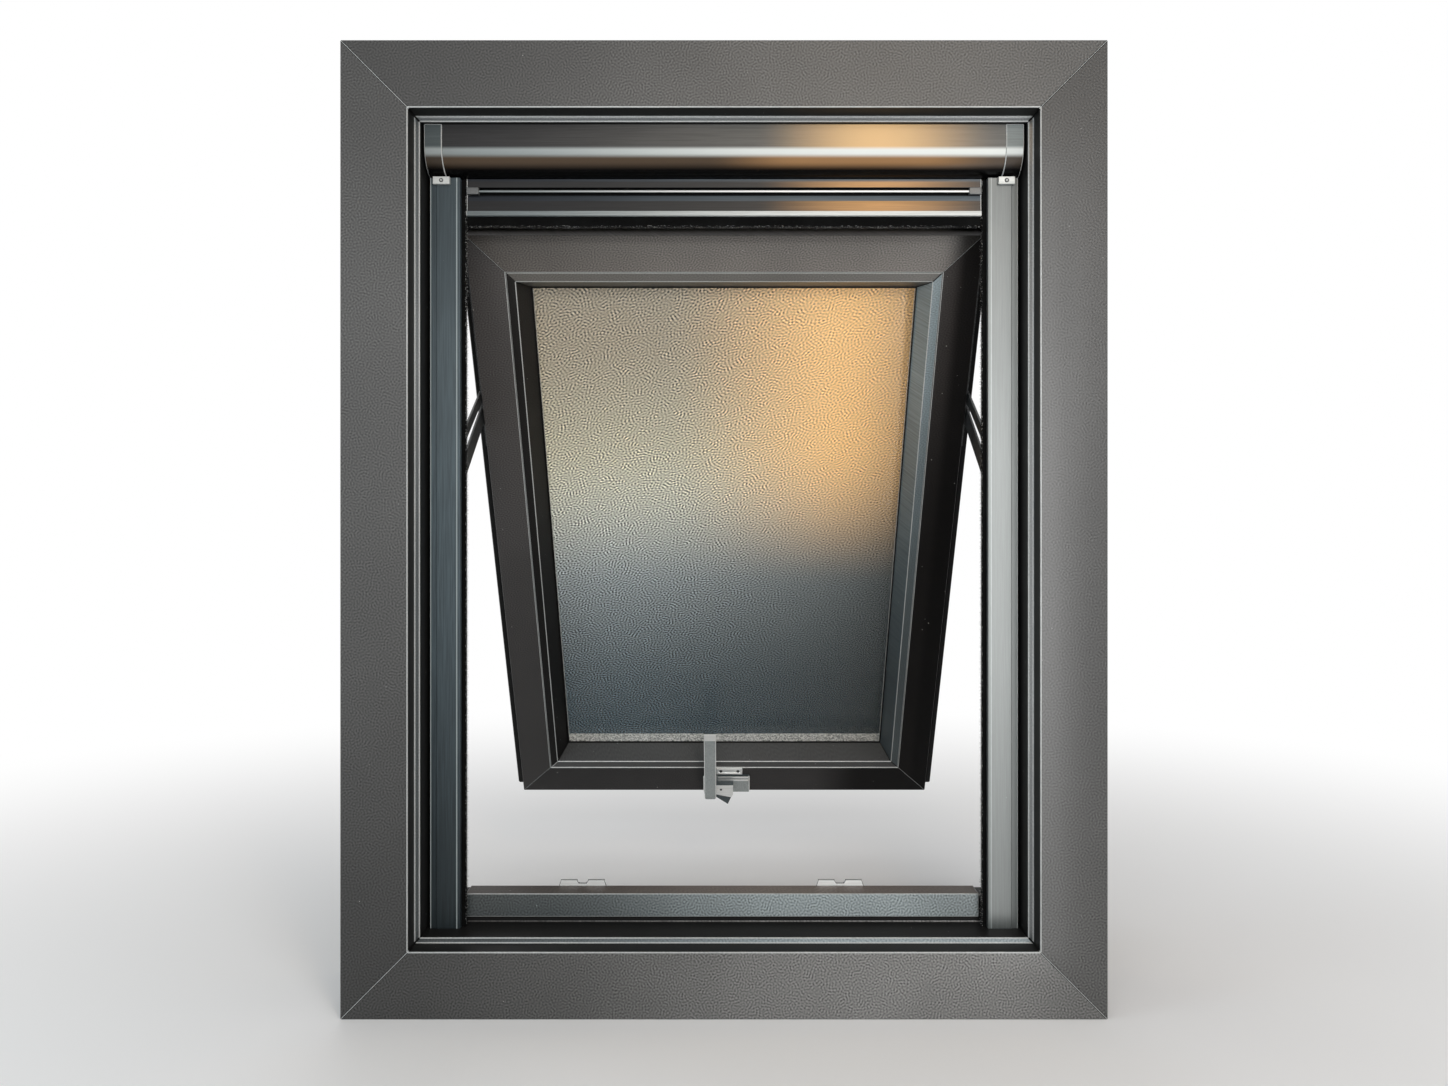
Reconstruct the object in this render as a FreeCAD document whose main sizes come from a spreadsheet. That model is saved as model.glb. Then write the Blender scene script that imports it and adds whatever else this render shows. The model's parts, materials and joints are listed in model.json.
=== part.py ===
import FreeCAD, Part
import os
import re
import Sketcher

# Top hung awning window, seen from the room along +Y: frame, roll-up screen, open sash, stays and handle.
# Millimetres. X runs to the right, Y from the room to the outside, Z up from the bottom face of the sill.

SIZES = {
    # Frame: four lengths of one stepped hollow section
    "frame_width": 750,
    "frame_height": 957,
    "frame_depth": 127.5,
    "face_width": 66,
    "face_depth": 23.5,
    "step_width": 5.5,
    "channel_depth": 45,
    "upstand_height": 28,
    "upstand_depth": 25,
    "rebate_width": 11.5,
    "frame_wall": 2,
    # Cover strip and striker plates on the upstand of the sill
    "strip_gap_left": 1,
    "strip_gap_right": 5,
    "strip_wall": 1.5,
    "strip_drop": 24,
    "striker_width": 50,
    "striker_rise": 6,
    "striker_grip": 12,
    "striker_depth": 3,
    "striker_slope": 2,
    "striker_notch": 12,
    "striker_notch_drop": 3.5,
    "striker_spread": 273,
    "striker_shift": -13.5,
    # Roll-up screen: cassette, guide rails and pull bar
    "cassette_depth": 38.5,
    "cassette_height": 47,
    "cassette_radius": 26,
    "cassette_wall": 1.5,
    "cap_width": 18,
    "cap_clear": 2.5,
    "cap_overhang": 1,
    "rail_width": 31,
    "rail_depth": 20.5,
    "rail_inset": 3.5,
    "rail_wall": 1.5,
    "rail_mouth": 7.5,
    "rail_corner": 1,
    "rail_edge": 6.5,
    "rail_edge_drop": 0.8,
    "brush_reach": 3.5,
    "brush_root": 3,
    "clip_width": 17,
    "clip_height": 7.5,
    "clip_depth": 4,
    "clip_bore": 4,
    "clip_outset": 4,
    "bar_end_gap": 1.5,
    "bar_depth": 14,
    "bar_height": 38,
    "bar_gap": 2,
    "bar_clear": 0.3,
    "bar_setback": 2,
    "bar_lip": 5,
    "bar_groove_low": 22,
    "bar_groove_high": 29,
    "bar_groove_depth": 8,
    "bar_wall": 1.5,
    "rod_bore": 3,
    "holder_length": 12.5,
    "bar_brush_height": 9,
    "bar_brush_depth": 5,
    # Sash: four lengths of one hollow section, hung open
    "sash_gap": 8.5,
    "sash_face": 40,
    "sash_flange": 14,
    "flange_front": 34,
    "sash_wall": 2,
    "lip_depth": 3,
    "lip_reach": 17,
    "sash_tilt": 27.4,
    "sash_swing": 12.5,
    "sash_top_drop": 163,
    "seal_width": 4,
    "seal_depth": 3,
    "seal_inset": 2,
    # Sealed glass unit and glazing beads
    "bead_gap": 0.4,
    "bead_flat": 10,
    "bead_slope": 13,
    "bead_depth": 27,
    "bead_wall": 1.5,
    "pane_thickness": 4,
    "pane_gap": 16,
    "pane_edge_gap": 3,
    "spacer_height": 8,
    "spacer_cover": 2,
    "gasket_depth": 4,
    # Two-arm friction stays
    "track_width": 20,
    "track_length": 320,
    "track_drop": 132,
    "track_base": 1.5,
    "track_lip": 1.5,
    "track_rise": 3,
    "sash_bar_width": 16,
    "sash_bar_length": 235,
    "sash_bar_drop": 12,
    "sash_bar_thickness": 2,
    "stay_line": 12,
    "arm_gap": 0.5,
    "arm_thickness": 2.5,
    "long_arm_width": 20,
    "long_arm_drop": 419,
    "long_arm_reach": 209,
    "short_arm_width": 12,
    "pivot_spacing": 35,
    "rivet_spacing": 21.5,
    "rivet_bore": 8,
    # Cam handle on the bottom rail of the sash
    "base_width": 64,
    "base_height": 28,
    "base_depth": 3.5,
    "base_shift": 3,
    "base_corner": 1.5,
    "rib_height": 3.2,
    "rib_gap": 1.5,
    "rib_rise": 1.5,
    "rib_inset": 2,
    "pivot_shift": -19,
    "pivot_height": 14,
    "keep_width": 35.5,
    "keep_height": 10,
    "keep_depth": 3,
    "keep_shift": 7,
    "keep_drop": 30,
    "keep_rim": 2.5,
    "keep_recess": 1,
    "spindle_bore": 10,
    "spindle_clear": 0.05,
    "hub_bore": 17,
    "hub_clear": 0.5,
    "lever_width": 16,
    "lever_length": 101,
    "lever_tail": 8,
    "lever_depth": 5,
    "lever_standoff": 18,
    "lever_edge": 0.8,
    "lever_bevel": 10,
    "lever_tip": 1.8,
    "lever_corner": 3,
    "nose_reach": 31,
    "nose_drop": 24,
    "nose_top": 11,
    "nose_point": 7,
    "nose_depth": 7,
    "nose_clear": 5,
    "shelf_rise": 2.5,
    "shelf_drop": 4,
    "shelf_fall": 6,
}

# Sums that several pieces share
SUMS = {
    "reveal": "face_width + step_width",
    "upstand_top": "reveal + upstand_height",
    "rebate_floor": "upstand_top - rebate_width",
    "channel_back": "face_depth + channel_depth",
    "upstand_back": "channel_back + upstand_depth",
    "head_level": "frame_height - reveal",
    "strip_length": "2 * rail_inner - strip_gap_left - strip_gap_right",
    "strip_shift": "(strip_gap_left - strip_gap_right) / 2",
    "cassette_length": "frame_width - 2 * (reveal + cap_clear + cap_width)",
    "cassette_bottom": "head_level - cassette_height",
    "cassette_front": "channel_back - cassette_depth",
    "rail_outer": "frame_width / 2 - reveal - rail_inset",
    "rail_inner": "rail_outer - rail_width",
    "rail_front": "channel_back - rail_depth",
    "mouth_low": "(rail_depth - rail_mouth) / 2",
    "mouth_high": "(rail_depth + rail_mouth) / 2",
    "bar_length": "2 * (rail_inner - brush_reach - bar_end_gap)",
    "bar_bottom": "cassette_bottom - bar_clear - bar_height",
    "bar_front": "channel_back - bar_gap - bar_depth",
    "strip_top": "upstand_top + strip_wall",
    "sash_depth": "bead_depth + 2 * pane_thickness + pane_gap + gasket_depth + lip_depth",
    "sash_width": "frame_width - 2 * (rebate_floor + sash_gap)",
    "sash_height": "frame_height - 2 * (rebate_floor + sash_gap)",
    "sash_outer_width": "sash_width + 2 * sash_flange",
    "sash_outer_height": "sash_height + 2 * sash_flange",
    "lip_edge": "sash_flange + sash_face + lip_reach",
    "rebate_wall": "sash_flange + sash_face",
    "bead_edge": "sash_face + bead_gap",
    "bead_width": "bead_flat + bead_slope",
    "bead_lean": "bead_slope / bead_depth",
    "bead_skin": "bead_wall * sqrt(1 + bead_lean ^ 2)",
    "pane_edge": "sash_face + pane_edge_gap",
    "outer_pane_near": "bead_depth + pane_thickness + pane_gap",
    "spacer_edge": "bead_edge + bead_width - spacer_cover",
    "sash_top_depth": "upstand_back + sash_swing",
    "short_arm_drop": "long_arm_drop - pivot_spacing",
    "short_arm_reach": "long_arm_reach - rivet_spacing",
    "track_line": "(upstand_back + frame_depth) / 2",
    "rebate_side": "frame_width / 2 - rebate_floor",
    "arm_near": "sash_width / 2 + sash_bar_thickness + arm_gap",
    "lever_near": "base_depth + lever_standoff",
    "nose_near": "base_depth + rib_rise + nose_clear",
    "hub_side": "hub_bore / 4",
}

doc = FreeCAD.newDocument("awning_window")
sheet = doc.addObject("Spreadsheet::Sheet", "sizes")
for row, (size_name, size) in enumerate(SIZES.items(), start=1):
    sheet.set(f"A{row}", size_name)
    sheet.set(f"B{row}", str(size))
    sheet.setAlias(f"B{row}", size_name)
doc.recompute()

pieces = []


def sized(text):
    """Turn the words of a sum into cells of the sheet."""
    def cell(match):
        word = match.group(0)
        if word in SUMS:
            return "(" + sized(SUMS[word]) + ")"
        return "sizes." + word if word in SIZES else word
    return re.sub(r"[a-z][a-z_]*", cell, text)


def value(text):
    """The number that a sum gives now."""
    return float(sheet.evalExpression(sized(text)))


def place(x, y, z, axis=(1, 0, 0), turn="0"):
    """A placement as a sum: a point, and a turn in degrees about an axis through it."""
    point = f"create(<<vector>>; {sized(x)}; {sized(y)}; {sized(z)})"
    line = "create(<<vector>>; {}; {}; {})".format(*axis)
    return f"create(<<placement>>; {point}; create(<<rotation>>; {line}; {sized(turn)}))"


# Two frames of reference: the face of the window frame, and the top edge of the tilted sash
FACE = place("0", "-frame_depth / 2", "0")
SASH = place("0", "sash_top_depth - frame_depth / 2", "frame_height - sash_top_drop", turn="sash_tilt")


def new_body(label, where):
    body = doc.addObject("PartDesign::Body", label)
    body.Label = label
    body.setExpression("Placement", where)
    pieces.append(body)
    return body


def sketch_on(body, plane_role, offset="0"):
    """A sketch on one of the body's own planes, lifted along the plane's normal."""
    plane = next(item for item in body.Origin.OriginFeatures if item.Role == plane_role)
    sketch = body.newObject("Sketcher::SketchObject", body.Label + "_outline")
    sketch.AttachmentSupport = [(plane, "")]
    sketch.MapMode = "FlatFace"
    sketch.setExpression("AttachmentOffset.Base.z", sized(offset))
    return sketch


def tie(sketch, edge, end, kind, text):
    """Tie one point of a sketch to its distance from one axis: DistanceX across it, DistanceY up it."""
    distance = value(text)
    if distance == 0:
        axis = -2 if kind == "DistanceX" else -1
        sketch.addConstraint(Sketcher.Constraint("PointOnObject", edge, end, axis))
        return
    if distance > 0:
        rule = Sketcher.Constraint(kind, -1, 1, edge, end, distance)
        sum_text = text
    else:
        rule = Sketcher.Constraint(kind, edge, end, -1, 1, -distance)
        sum_text = f"-({text})"
    number = sketch.addConstraint(rule)
    sketch.setExpression(f"Constraints[{number}]", sized(sum_text))


def locate(sketch, edge, end, across, up):
    tie(sketch, edge, end, "DistanceX", across)
    tie(sketch, edge, end, "DistanceY", up)


def outline(sketch, corners, arcs=None):
    """A closed outline. arcs gives, for each corner where an arc starts, the centre of that arc."""
    arcs = arcs or {}
    first = sketch.GeometryCount
    points = [FreeCAD.Vector(value(across), value(up), 0) for across, up in corners]
    count = len(points)
    for index, start in enumerate(points):
        end = points[(index + 1) % count]
        if index in arcs:
            centre = FreeCAD.Vector(value(arcs[index][0]), value(arcs[index][1]), 0)
            round_edge = Part.Circle(centre, FreeCAD.Vector(0, 0, 1), (start - centre).Length)
            turn = (round_edge.parameter(start), round_edge.parameter(end))
            sketch.addGeometry(Part.ArcOfCircle(round_edge, *turn))
        else:
            sketch.addGeometry(Part.LineSegment(start, end))
    for index in range(count):
        following = first + (index + 1) % count
        sketch.addConstraint(Sketcher.Constraint("Coincident", first + index, 2, following, 1))
        locate(sketch, first + index, 1, *corners[index])
    for index, centre in arcs.items():
        tie(sketch, first + index, 3, "DistanceX", centre[0])


def rectangle(sketch, left, low, right, high):
    outline(sketch, [(left, low), (right, low), (right, high), (left, high)])


def circle(sketch, across, up, bore):
    ring = sketch.addGeometry(Part.Circle(
        FreeCAD.Vector(value(across), value(up), 0), FreeCAD.Vector(0, 0, 1), value(bore) / 2))
    locate(sketch, ring, 3, across, up)
    number = sketch.addConstraint(Sketcher.Constraint("Diameter", ring, value(bore)))
    sketch.setExpression(f"Constraints[{number}]", sized(bore))


def pad(sketch, length, side="One side", reverse=False):
    body = sketch.getParentGeoFeatureGroup()
    feature = body.newObject("PartDesign::Pad", body.Label + "_pad")
    feature.Profile = sketch
    feature.SideType = side
    feature.Reversed = reverse
    feature.setExpression("Length", sized(length))
    sketch.Visibility = False
    doc.recompute()
    return feature


def pocket_through(sketch):
    body = sketch.getParentGeoFeatureGroup()
    before = body.Shape.Volume
    feature = body.newObject("PartDesign::Pocket", body.Label + "_pocket")
    feature.Profile = sketch
    feature.Type = "ThroughAll"
    feature.SideType = "Symmetric"
    sketch.Visibility = False
    doc.recompute()
    if body.Shape.Volume >= before:
        raise ValueError(f"{body.Label}: the pocket cuts nothing")
    return feature


def dress(feature, kind, size_name, size, choose):
    """Round or bevel the edges of a feature that choose picks by their middle point and direction."""
    names = []
    for number, edge in enumerate(feature.Shape.Edges, start=1):
        if edge.Length and choose(edge):
            names.append(f"Edge{number}")
    body = feature.getParentGeoFeatureGroup()
    finish = body.newObject("PartDesign::" + kind, body.Label + "_" + kind.lower())
    finish.Base = (feature, names)
    finish.setExpression(size_name, sized(size))
    doc.recompute()
    return finish


def block(label, size, where):
    box = doc.addObject("Part::Box", label)
    box.Label = label
    for side, text in zip(("Length", "Width", "Height"), size):
        box.setExpression(side, sized(text))
    box.setExpression("Placement", where)
    pieces.append(box)
    return box


def mitred_set(names, section, cavity, reach, width, height, where):
    """Four hollow lengths of one section, mitred into a rectangle: bottom, top, left and right."""
    runs = [
        (names[0], width, place("0", "0", "0")),
        (names[1], width, place("0", "0", height, (0, 1, 0), "180")),
        (names[2], height, place(f"-({width}) / 2", "0", f"({height}) / 2", (0, 1, 0), "90")),
        (names[3], height, place(f"({width}) / 2", "0", f"({height}) / 2", (0, 1, 0), "-90")),
    ]
    for label, length, turn in runs:
        body = new_body(label, where + " * " + turn)
        profile = sketch_on(body, "YZ_Plane")
        outline(profile, section)
        outline(profile, cavity)
        pad(profile, length, "Symmetric")
        mitre = sketch_on(body, "XZ_Plane")
        for sign in ("", "-"):
            end = f"{sign}({length}) / 2"
            shoulder = f"{sign}(({length}) / 2 - ({reach}))"
            outline(mitre, [(end, "0"), (end, reach), (shoulder, reach)])
        pocket_through(mitre)


def border(label, where, half_width, top, bottom, width, near, depth):
    """A flat rectangular ring, such as a seal, whose near face lies at a given depth."""
    body = new_body(label, where)
    sketch = sketch_on(body, "XZ_Plane", f"-({near})")
    rectangle(sketch, f"-({half_width})", bottom, half_width, top)
    inner = f"({half_width}) - ({width})"
    rectangle(sketch, f"-({inner})", f"({bottom}) + ({width})", inner, f"({top}) - ({width})")
    pad(sketch, depth, reverse=True)


def frame():
    section = [
        ("0", "0"), ("frame_depth", "0"), ("frame_depth", "rebate_floor"), ("upstand_back", "rebate_floor"),
        ("upstand_back", "upstand_top"), ("channel_back", "upstand_top"), ("channel_back", "reveal"),
        ("face_depth", "reveal"), ("face_depth", "face_width"), ("0", "face_width"),
    ]
    far_wall = "frame_depth - frame_wall"
    floor = "rebate_floor - frame_wall"
    back = "upstand_back - frame_wall"
    crest = "upstand_top - frame_wall"
    front = "channel_back + frame_wall"
    deck = "reveal - frame_wall"
    step = "face_depth + frame_wall"
    ledge = "face_width - frame_wall"
    cavity = [
        ("frame_wall", "frame_wall"), (far_wall, "frame_wall"), (far_wall, floor), (back, floor),
        (back, crest), (front, crest), (front, deck), (step, deck), (step, ledge), ("frame_wall", ledge),
    ]
    names = ("frame_sill", "frame_head", "frame_left_jamb", "frame_right_jamb")
    mitred_set(names, section, cavity, "upstand_top", "frame_width", "frame_height", FACE)


def sill_fittings():
    strip = new_body("sill_cover_strip", FACE + " * " + place("strip_shift", "0", "0"))
    profile = sketch_on(strip, "YZ_Plane")
    low = "strip_top - strip_drop"
    front = "channel_back - strip_wall"
    outline(profile, [
        (front, low), ("channel_back", low), ("channel_back", "upstand_top"),
        ("upstand_back", "upstand_top"), ("upstand_back", "strip_top"), (front, "strip_top"),
    ])
    pad(profile, "strip_length", "Symmetric")
    for label, sign in (("striker_left", "-"), ("striker_right", "")):
        middle = f"striker_shift {sign or '+'} striker_spread / 2"
        body = new_body(label, FACE + " * " + place(middle, "upstand_back", "strip_top"))
        face = sketch_on(body, "XZ_Plane")
        right_half = [
            ("striker_width / 2", "-striker_grip"), ("striker_width / 2", "0"),
            ("striker_width / 2 - striker_slope", "striker_rise"), ("striker_notch / 2", "striker_rise"),
            ("striker_notch / 2 - striker_slope", "striker_rise - striker_notch_drop"),
        ]
        left_half = [(f"-({across})", up) for across, up in reversed(right_half)]
        outline(face, right_half + left_half)
        pad(face, "striker_depth", reverse=True)


def round_case(sketch, offset):
    """The quarter-round outline of the cassette, moved inwards by an offset."""
    deep = f"cassette_depth - ({offset})"
    high = f"cassette_height - ({offset})"
    bend = "cassette_radius"
    outline(
        sketch,
        [(bend, offset), (deep, offset), (deep, high), (offset, high), (offset, bend)],
        {4: (bend, bend)},
    )


def cassette():
    where = FACE + " * " + place("0", "cassette_front", "cassette_bottom")
    body = new_body("screen_cassette", where)
    profile = sketch_on(body, "YZ_Plane")
    round_case(profile, "0")
    round_case(profile, "cassette_wall")
    pad(profile, "cassette_length", "Symmetric")
    bend = "cassette_radius"
    lap = "-cap_overhang"
    for label, sign in (("cassette_end_cap_left", "-"), ("cassette_end_cap_right", "")):
        cap = new_body(label, where)
        side = sketch_on(cap, "YZ_Plane", f"{sign}cassette_length / 2")
        outline(
            side,
            [(bend, lap), ("cassette_depth", lap), ("cassette_depth", "cassette_height"),
             (lap, "cassette_height"), (lap, bend)],
            {4: (bend, bend)},
        )
        pad(side, "cap_width", reverse=sign == "-")


def guide_rails():
    length = "cassette_bottom - cap_overhang - reveal"
    for hand, sign in (("left", "-"), ("right", "")):
        rail = new_body("guide_rail_" + hand, FACE + " * " + place("0", "rail_front", "reveal"))
        profile = sketch_on(rail, "XY_Plane")
        mouth = f"{sign}rail_inner"
        lip = f"{sign}(rail_inner + rail_wall)"
        web = f"{sign}(rail_outer - rail_wall)"
        outer = f"{sign}rail_outer"
        shoulder = f"{sign}(rail_outer - rail_edge)"
        near = "rail_wall + rail_edge_drop"
        far = "rail_depth - rail_wall"
        outline(profile, [
            (mouth, "0"), (shoulder, "0"), (shoulder, "rail_edge_drop"), (outer, "rail_edge_drop"),
            (outer, "rail_depth"), (mouth, "rail_depth"), (mouth, "mouth_high"),
            (lip, "mouth_high"), (lip, far), (web, far), (web, near), (lip, near), (lip, "mouth_low"),
            (mouth, "mouth_low"),
        ])
        run = pad(profile, length)

        def front_corner(edge):
            upright = edge.BoundBox.ZLength > value(length) / 2
            inner = abs(abs(edge.CenterOfMass.x) - value("rail_inner")) < value("rail_wall") / 2
            return upright and inner and edge.CenterOfMass.y < value("rail_wall") / 2

        dress(run, "Fillet", "Radius", "rail_corner", front_corner)
        start = "rail_inner - brush_reach" if sign == "" else "-(rail_inner + brush_root)"
        block(
            "rail_brush_" + hand,
            ("brush_reach + brush_root", "rail_mouth", length),
            FACE + " * " + place(start, "rail_front + mouth_low", "reveal"),
        )
        clip = new_body("rail_clip_" + hand, FACE + " * " + place(
            f"{sign}(rail_outer - clip_outset - clip_width / 2)", "rail_front",
            "cassette_bottom - cap_overhang - clip_height"))
        tab = sketch_on(clip, "XZ_Plane")
        rectangle(tab, "-clip_width / 2", "0", "clip_width / 2", "clip_height")
        circle(tab, "0", "clip_height / 2", "clip_bore")
        pad(tab, "clip_depth")


def pull_bar():
    where = FACE + " * " + place("0", "bar_front", "bar_bottom")
    body = new_body("pull_bar", where)
    profile = sketch_on(body, "YZ_Plane")
    outline(profile, [
        ("0", "0"), ("bar_depth", "0"), ("bar_depth", "bar_height"), ("bar_setback", "bar_height"),
        ("bar_setback", "bar_groove_high"), ("bar_groove_depth", "bar_groove_high"),
        ("bar_groove_depth", "bar_groove_low"), ("bar_setback * 2", "bar_groove_low"),
        ("bar_setback", "bar_groove_low - bar_lip"), ("bar_setback", "bar_lip"), ("0", "bar_lip"),
    ])
    back = "bar_depth - bar_wall"
    behind = "bar_groove_depth + bar_wall"
    under = "bar_groove_low - bar_lip - bar_wall"
    outline(profile, [
        ("bar_setback + bar_wall", "bar_wall"), (back, "bar_wall"), (back, "bar_height - bar_wall"),
        (behind, "bar_height - bar_wall"), (behind, under), ("bar_setback + bar_wall", under),
    ])
    pad(profile, "bar_length", "Symmetric")
    groove = "bar_groove_high - bar_groove_low"
    for label, start in (("rod_holder_left", "-bar_length / 2"),
                         ("rod_holder_right", "bar_length / 2 - holder_length")):
        block(label, ("holder_length", "bar_groove_depth", groove),
              where + " * " + place(start, "0", "bar_groove_low"))
    rod = doc.addObject("Part::Cylinder", "pull_bar_rod")
    rod.Label = "pull_bar_rod"
    rod.setExpression("Radius", sized("rod_bore / 2"))
    rod.setExpression("Height", sized("bar_length - 2 * holder_length"))
    rod.setExpression("Placement", where + " * " + place(
        "-bar_length / 2 + holder_length", "bar_setback + rod_bore / 2",
        "(bar_groove_low + bar_groove_high) / 2", (0, 1, 0), "90"))
    pieces.append(rod)
    block(
        "pull_bar_brush",
        ("bar_length", "bar_brush_depth", "bar_brush_height"),
        where + " * " + place("-bar_length / 2", "(bar_depth - bar_brush_depth) / 2", "-bar_brush_height"),
    )


def sash():
    inner_lip = "sash_depth - lip_depth"
    section = [
        ("flange_front", "0"), ("sash_depth", "0"), ("sash_depth", "lip_edge"), (inner_lip, "lip_edge"),
        (inner_lip, "rebate_wall"), ("0", "rebate_wall"), ("0", "sash_flange"),
        ("flange_front", "sash_flange"),
    ]
    near_flange = "flange_front + sash_wall"
    far_wall = "sash_depth - sash_wall"
    side = "rebate_wall - sash_wall"
    edge = "sash_flange + sash_wall"
    cavity = [
        (near_flange, "sash_wall"), (far_wall, "sash_wall"), (far_wall, side), ("sash_wall", side),
        ("sash_wall", edge), (near_flange, edge),
    ]
    names = ("sash_bottom_rail", "sash_top_rail", "sash_left_stile", "sash_right_stile")
    mitred_set(names, section, cavity, "lip_edge", "sash_outer_width", "sash_outer_height",
               SASH + " * " + place("0", "0", "-sash_height - sash_flange"))
    inset = "(sash_flange - seal_inset)"
    border("sash_seal", SASH, f"sash_width / 2 + {inset}", inset, f"-sash_height - {inset}",
           "seal_width", "flange_front - seal_depth", "seal_depth")


def glazing():
    top_edge = "bead_flat + bead_lean * bead_wall - bead_skin"
    low_edge = "bead_flat + bead_lean * (bead_depth - bead_wall) - bead_skin"
    section = [("0", "0"), ("bead_depth", "0"), ("bead_depth", "bead_width"), ("0", "bead_flat")]
    cavity = [
        ("bead_wall", "bead_wall"), ("bead_depth - bead_wall", "bead_wall"),
        ("bead_depth - bead_wall", low_edge), ("bead_wall", top_edge),
    ]
    names = ("bead_bottom", "bead_top", "bead_left", "bead_right")
    mitred_set(names, section, cavity, "bead_width", "sash_width - 2 * bead_edge",
               "sash_height - 2 * bead_edge", SASH + " * " + place("0", "0", "bead_edge - sash_height"))
    pane = ("sash_width - 2 * pane_edge", "pane_thickness", "sash_height - 2 * pane_edge")
    for label, near in (("glass_inner_pane", "bead_depth"), ("glass_outer_pane", "outer_pane_near")):
        block(label, pane, SASH + " * " + place("pane_edge - sash_width / 2", near, "pane_edge - sash_height"))
    rim = "(spacer_edge - spacer_height)"
    border("glass_spacer", SASH, f"sash_width / 2 - {rim}", f"-{rim}", f"{rim} - sash_height",
           "spacer_height", "bead_depth + pane_thickness", "pane_gap")
    border("glazing_gasket", SASH, "sash_width / 2 - pane_edge", "-pane_edge", "pane_edge - sash_height",
           "sash_face + lip_reach - pane_edge", "outer_pane_near + pane_thickness", "gasket_depth")


def arm(label, sign, width, drop, reach):
    """A flat stay arm from its pivot in the track to its pivot on the sash bar, with its two rivets."""
    depth_step = f"sash_top_depth + ({reach}) * sin(sash_tilt) + stay_line * cos(sash_tilt) - track_line"
    height_step = f"({drop}) - sash_top_drop - ({reach}) * cos(sash_tilt) + stay_line * sin(sash_tilt)"
    length = f"sqrt(({depth_step}) ^ 2 + ({height_step}) ^ 2)"
    lean = f"atan2({height_step}; {depth_step})"
    body = new_body(label, FACE + " * " + place("0", "track_line", f"frame_height - ({drop})", turn=lean))
    half = f"({width}) / 2"
    bar = sketch_on(body, "YZ_Plane", f"{sign}arm_near")
    outline(
        bar,
        [("0", f"-({half})"), (length, f"-({half})"), (length, half), ("0", half)],
        {1: (length, "0"), 3: ("0", "0")},
    )
    pad(bar, "arm_thickness", reverse=sign == "-")
    track_rivet = sketch_on(body, "YZ_Plane", f"{sign}arm_near")
    circle(track_rivet, "0", "0", "rivet_bore")
    pad(track_rivet, "rebate_side - track_base - arm_near", reverse=sign == "-")
    sash_rivet = sketch_on(body, "YZ_Plane", f"{sign}(arm_near - arm_gap)")
    circle(sash_rivet, length, "0", "rivet_bore")
    pad(sash_rivet, "arm_thickness + 2 * arm_gap", reverse=sign == "-")


def stays():
    for hand, sign in (("left", "-"), ("right", "")):
        track = new_body("stay_track_" + hand, FACE + " * " + place(
            "0", "track_line", "frame_height - track_drop - track_length"))
        profile = sketch_on(track, "XY_Plane")
        back = f"{sign}rebate_side"
        base = f"{sign}(rebate_side - track_base)"
        tip = f"{sign}(rebate_side - track_rise)"
        edge = "track_width / 2"
        inner = "track_width / 2 - track_lip"
        outline(profile, [
            (back, f"-({edge})"), (back, edge), (tip, edge), (tip, inner), (base, inner),
            (base, f"-({inner})"), (tip, f"-({inner})"), (tip, f"-({edge})"),
        ])
        pad(profile, "track_length")
        start = "sash_width / 2" if sign == "" else "-sash_width / 2 - sash_bar_thickness"
        block(
            "stay_sash_bar_" + hand,
            ("sash_bar_thickness", "sash_bar_width", "sash_bar_length"),
            SASH + " * " + place(start, "stay_line - sash_bar_width / 2", "-sash_bar_drop - sash_bar_length"),
        )
        arm("stay_long_arm_" + hand, sign, "long_arm_width", "long_arm_drop", "long_arm_reach")
        arm("stay_short_arm_" + hand, sign, "short_arm_width", "short_arm_drop", "short_arm_reach")


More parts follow.
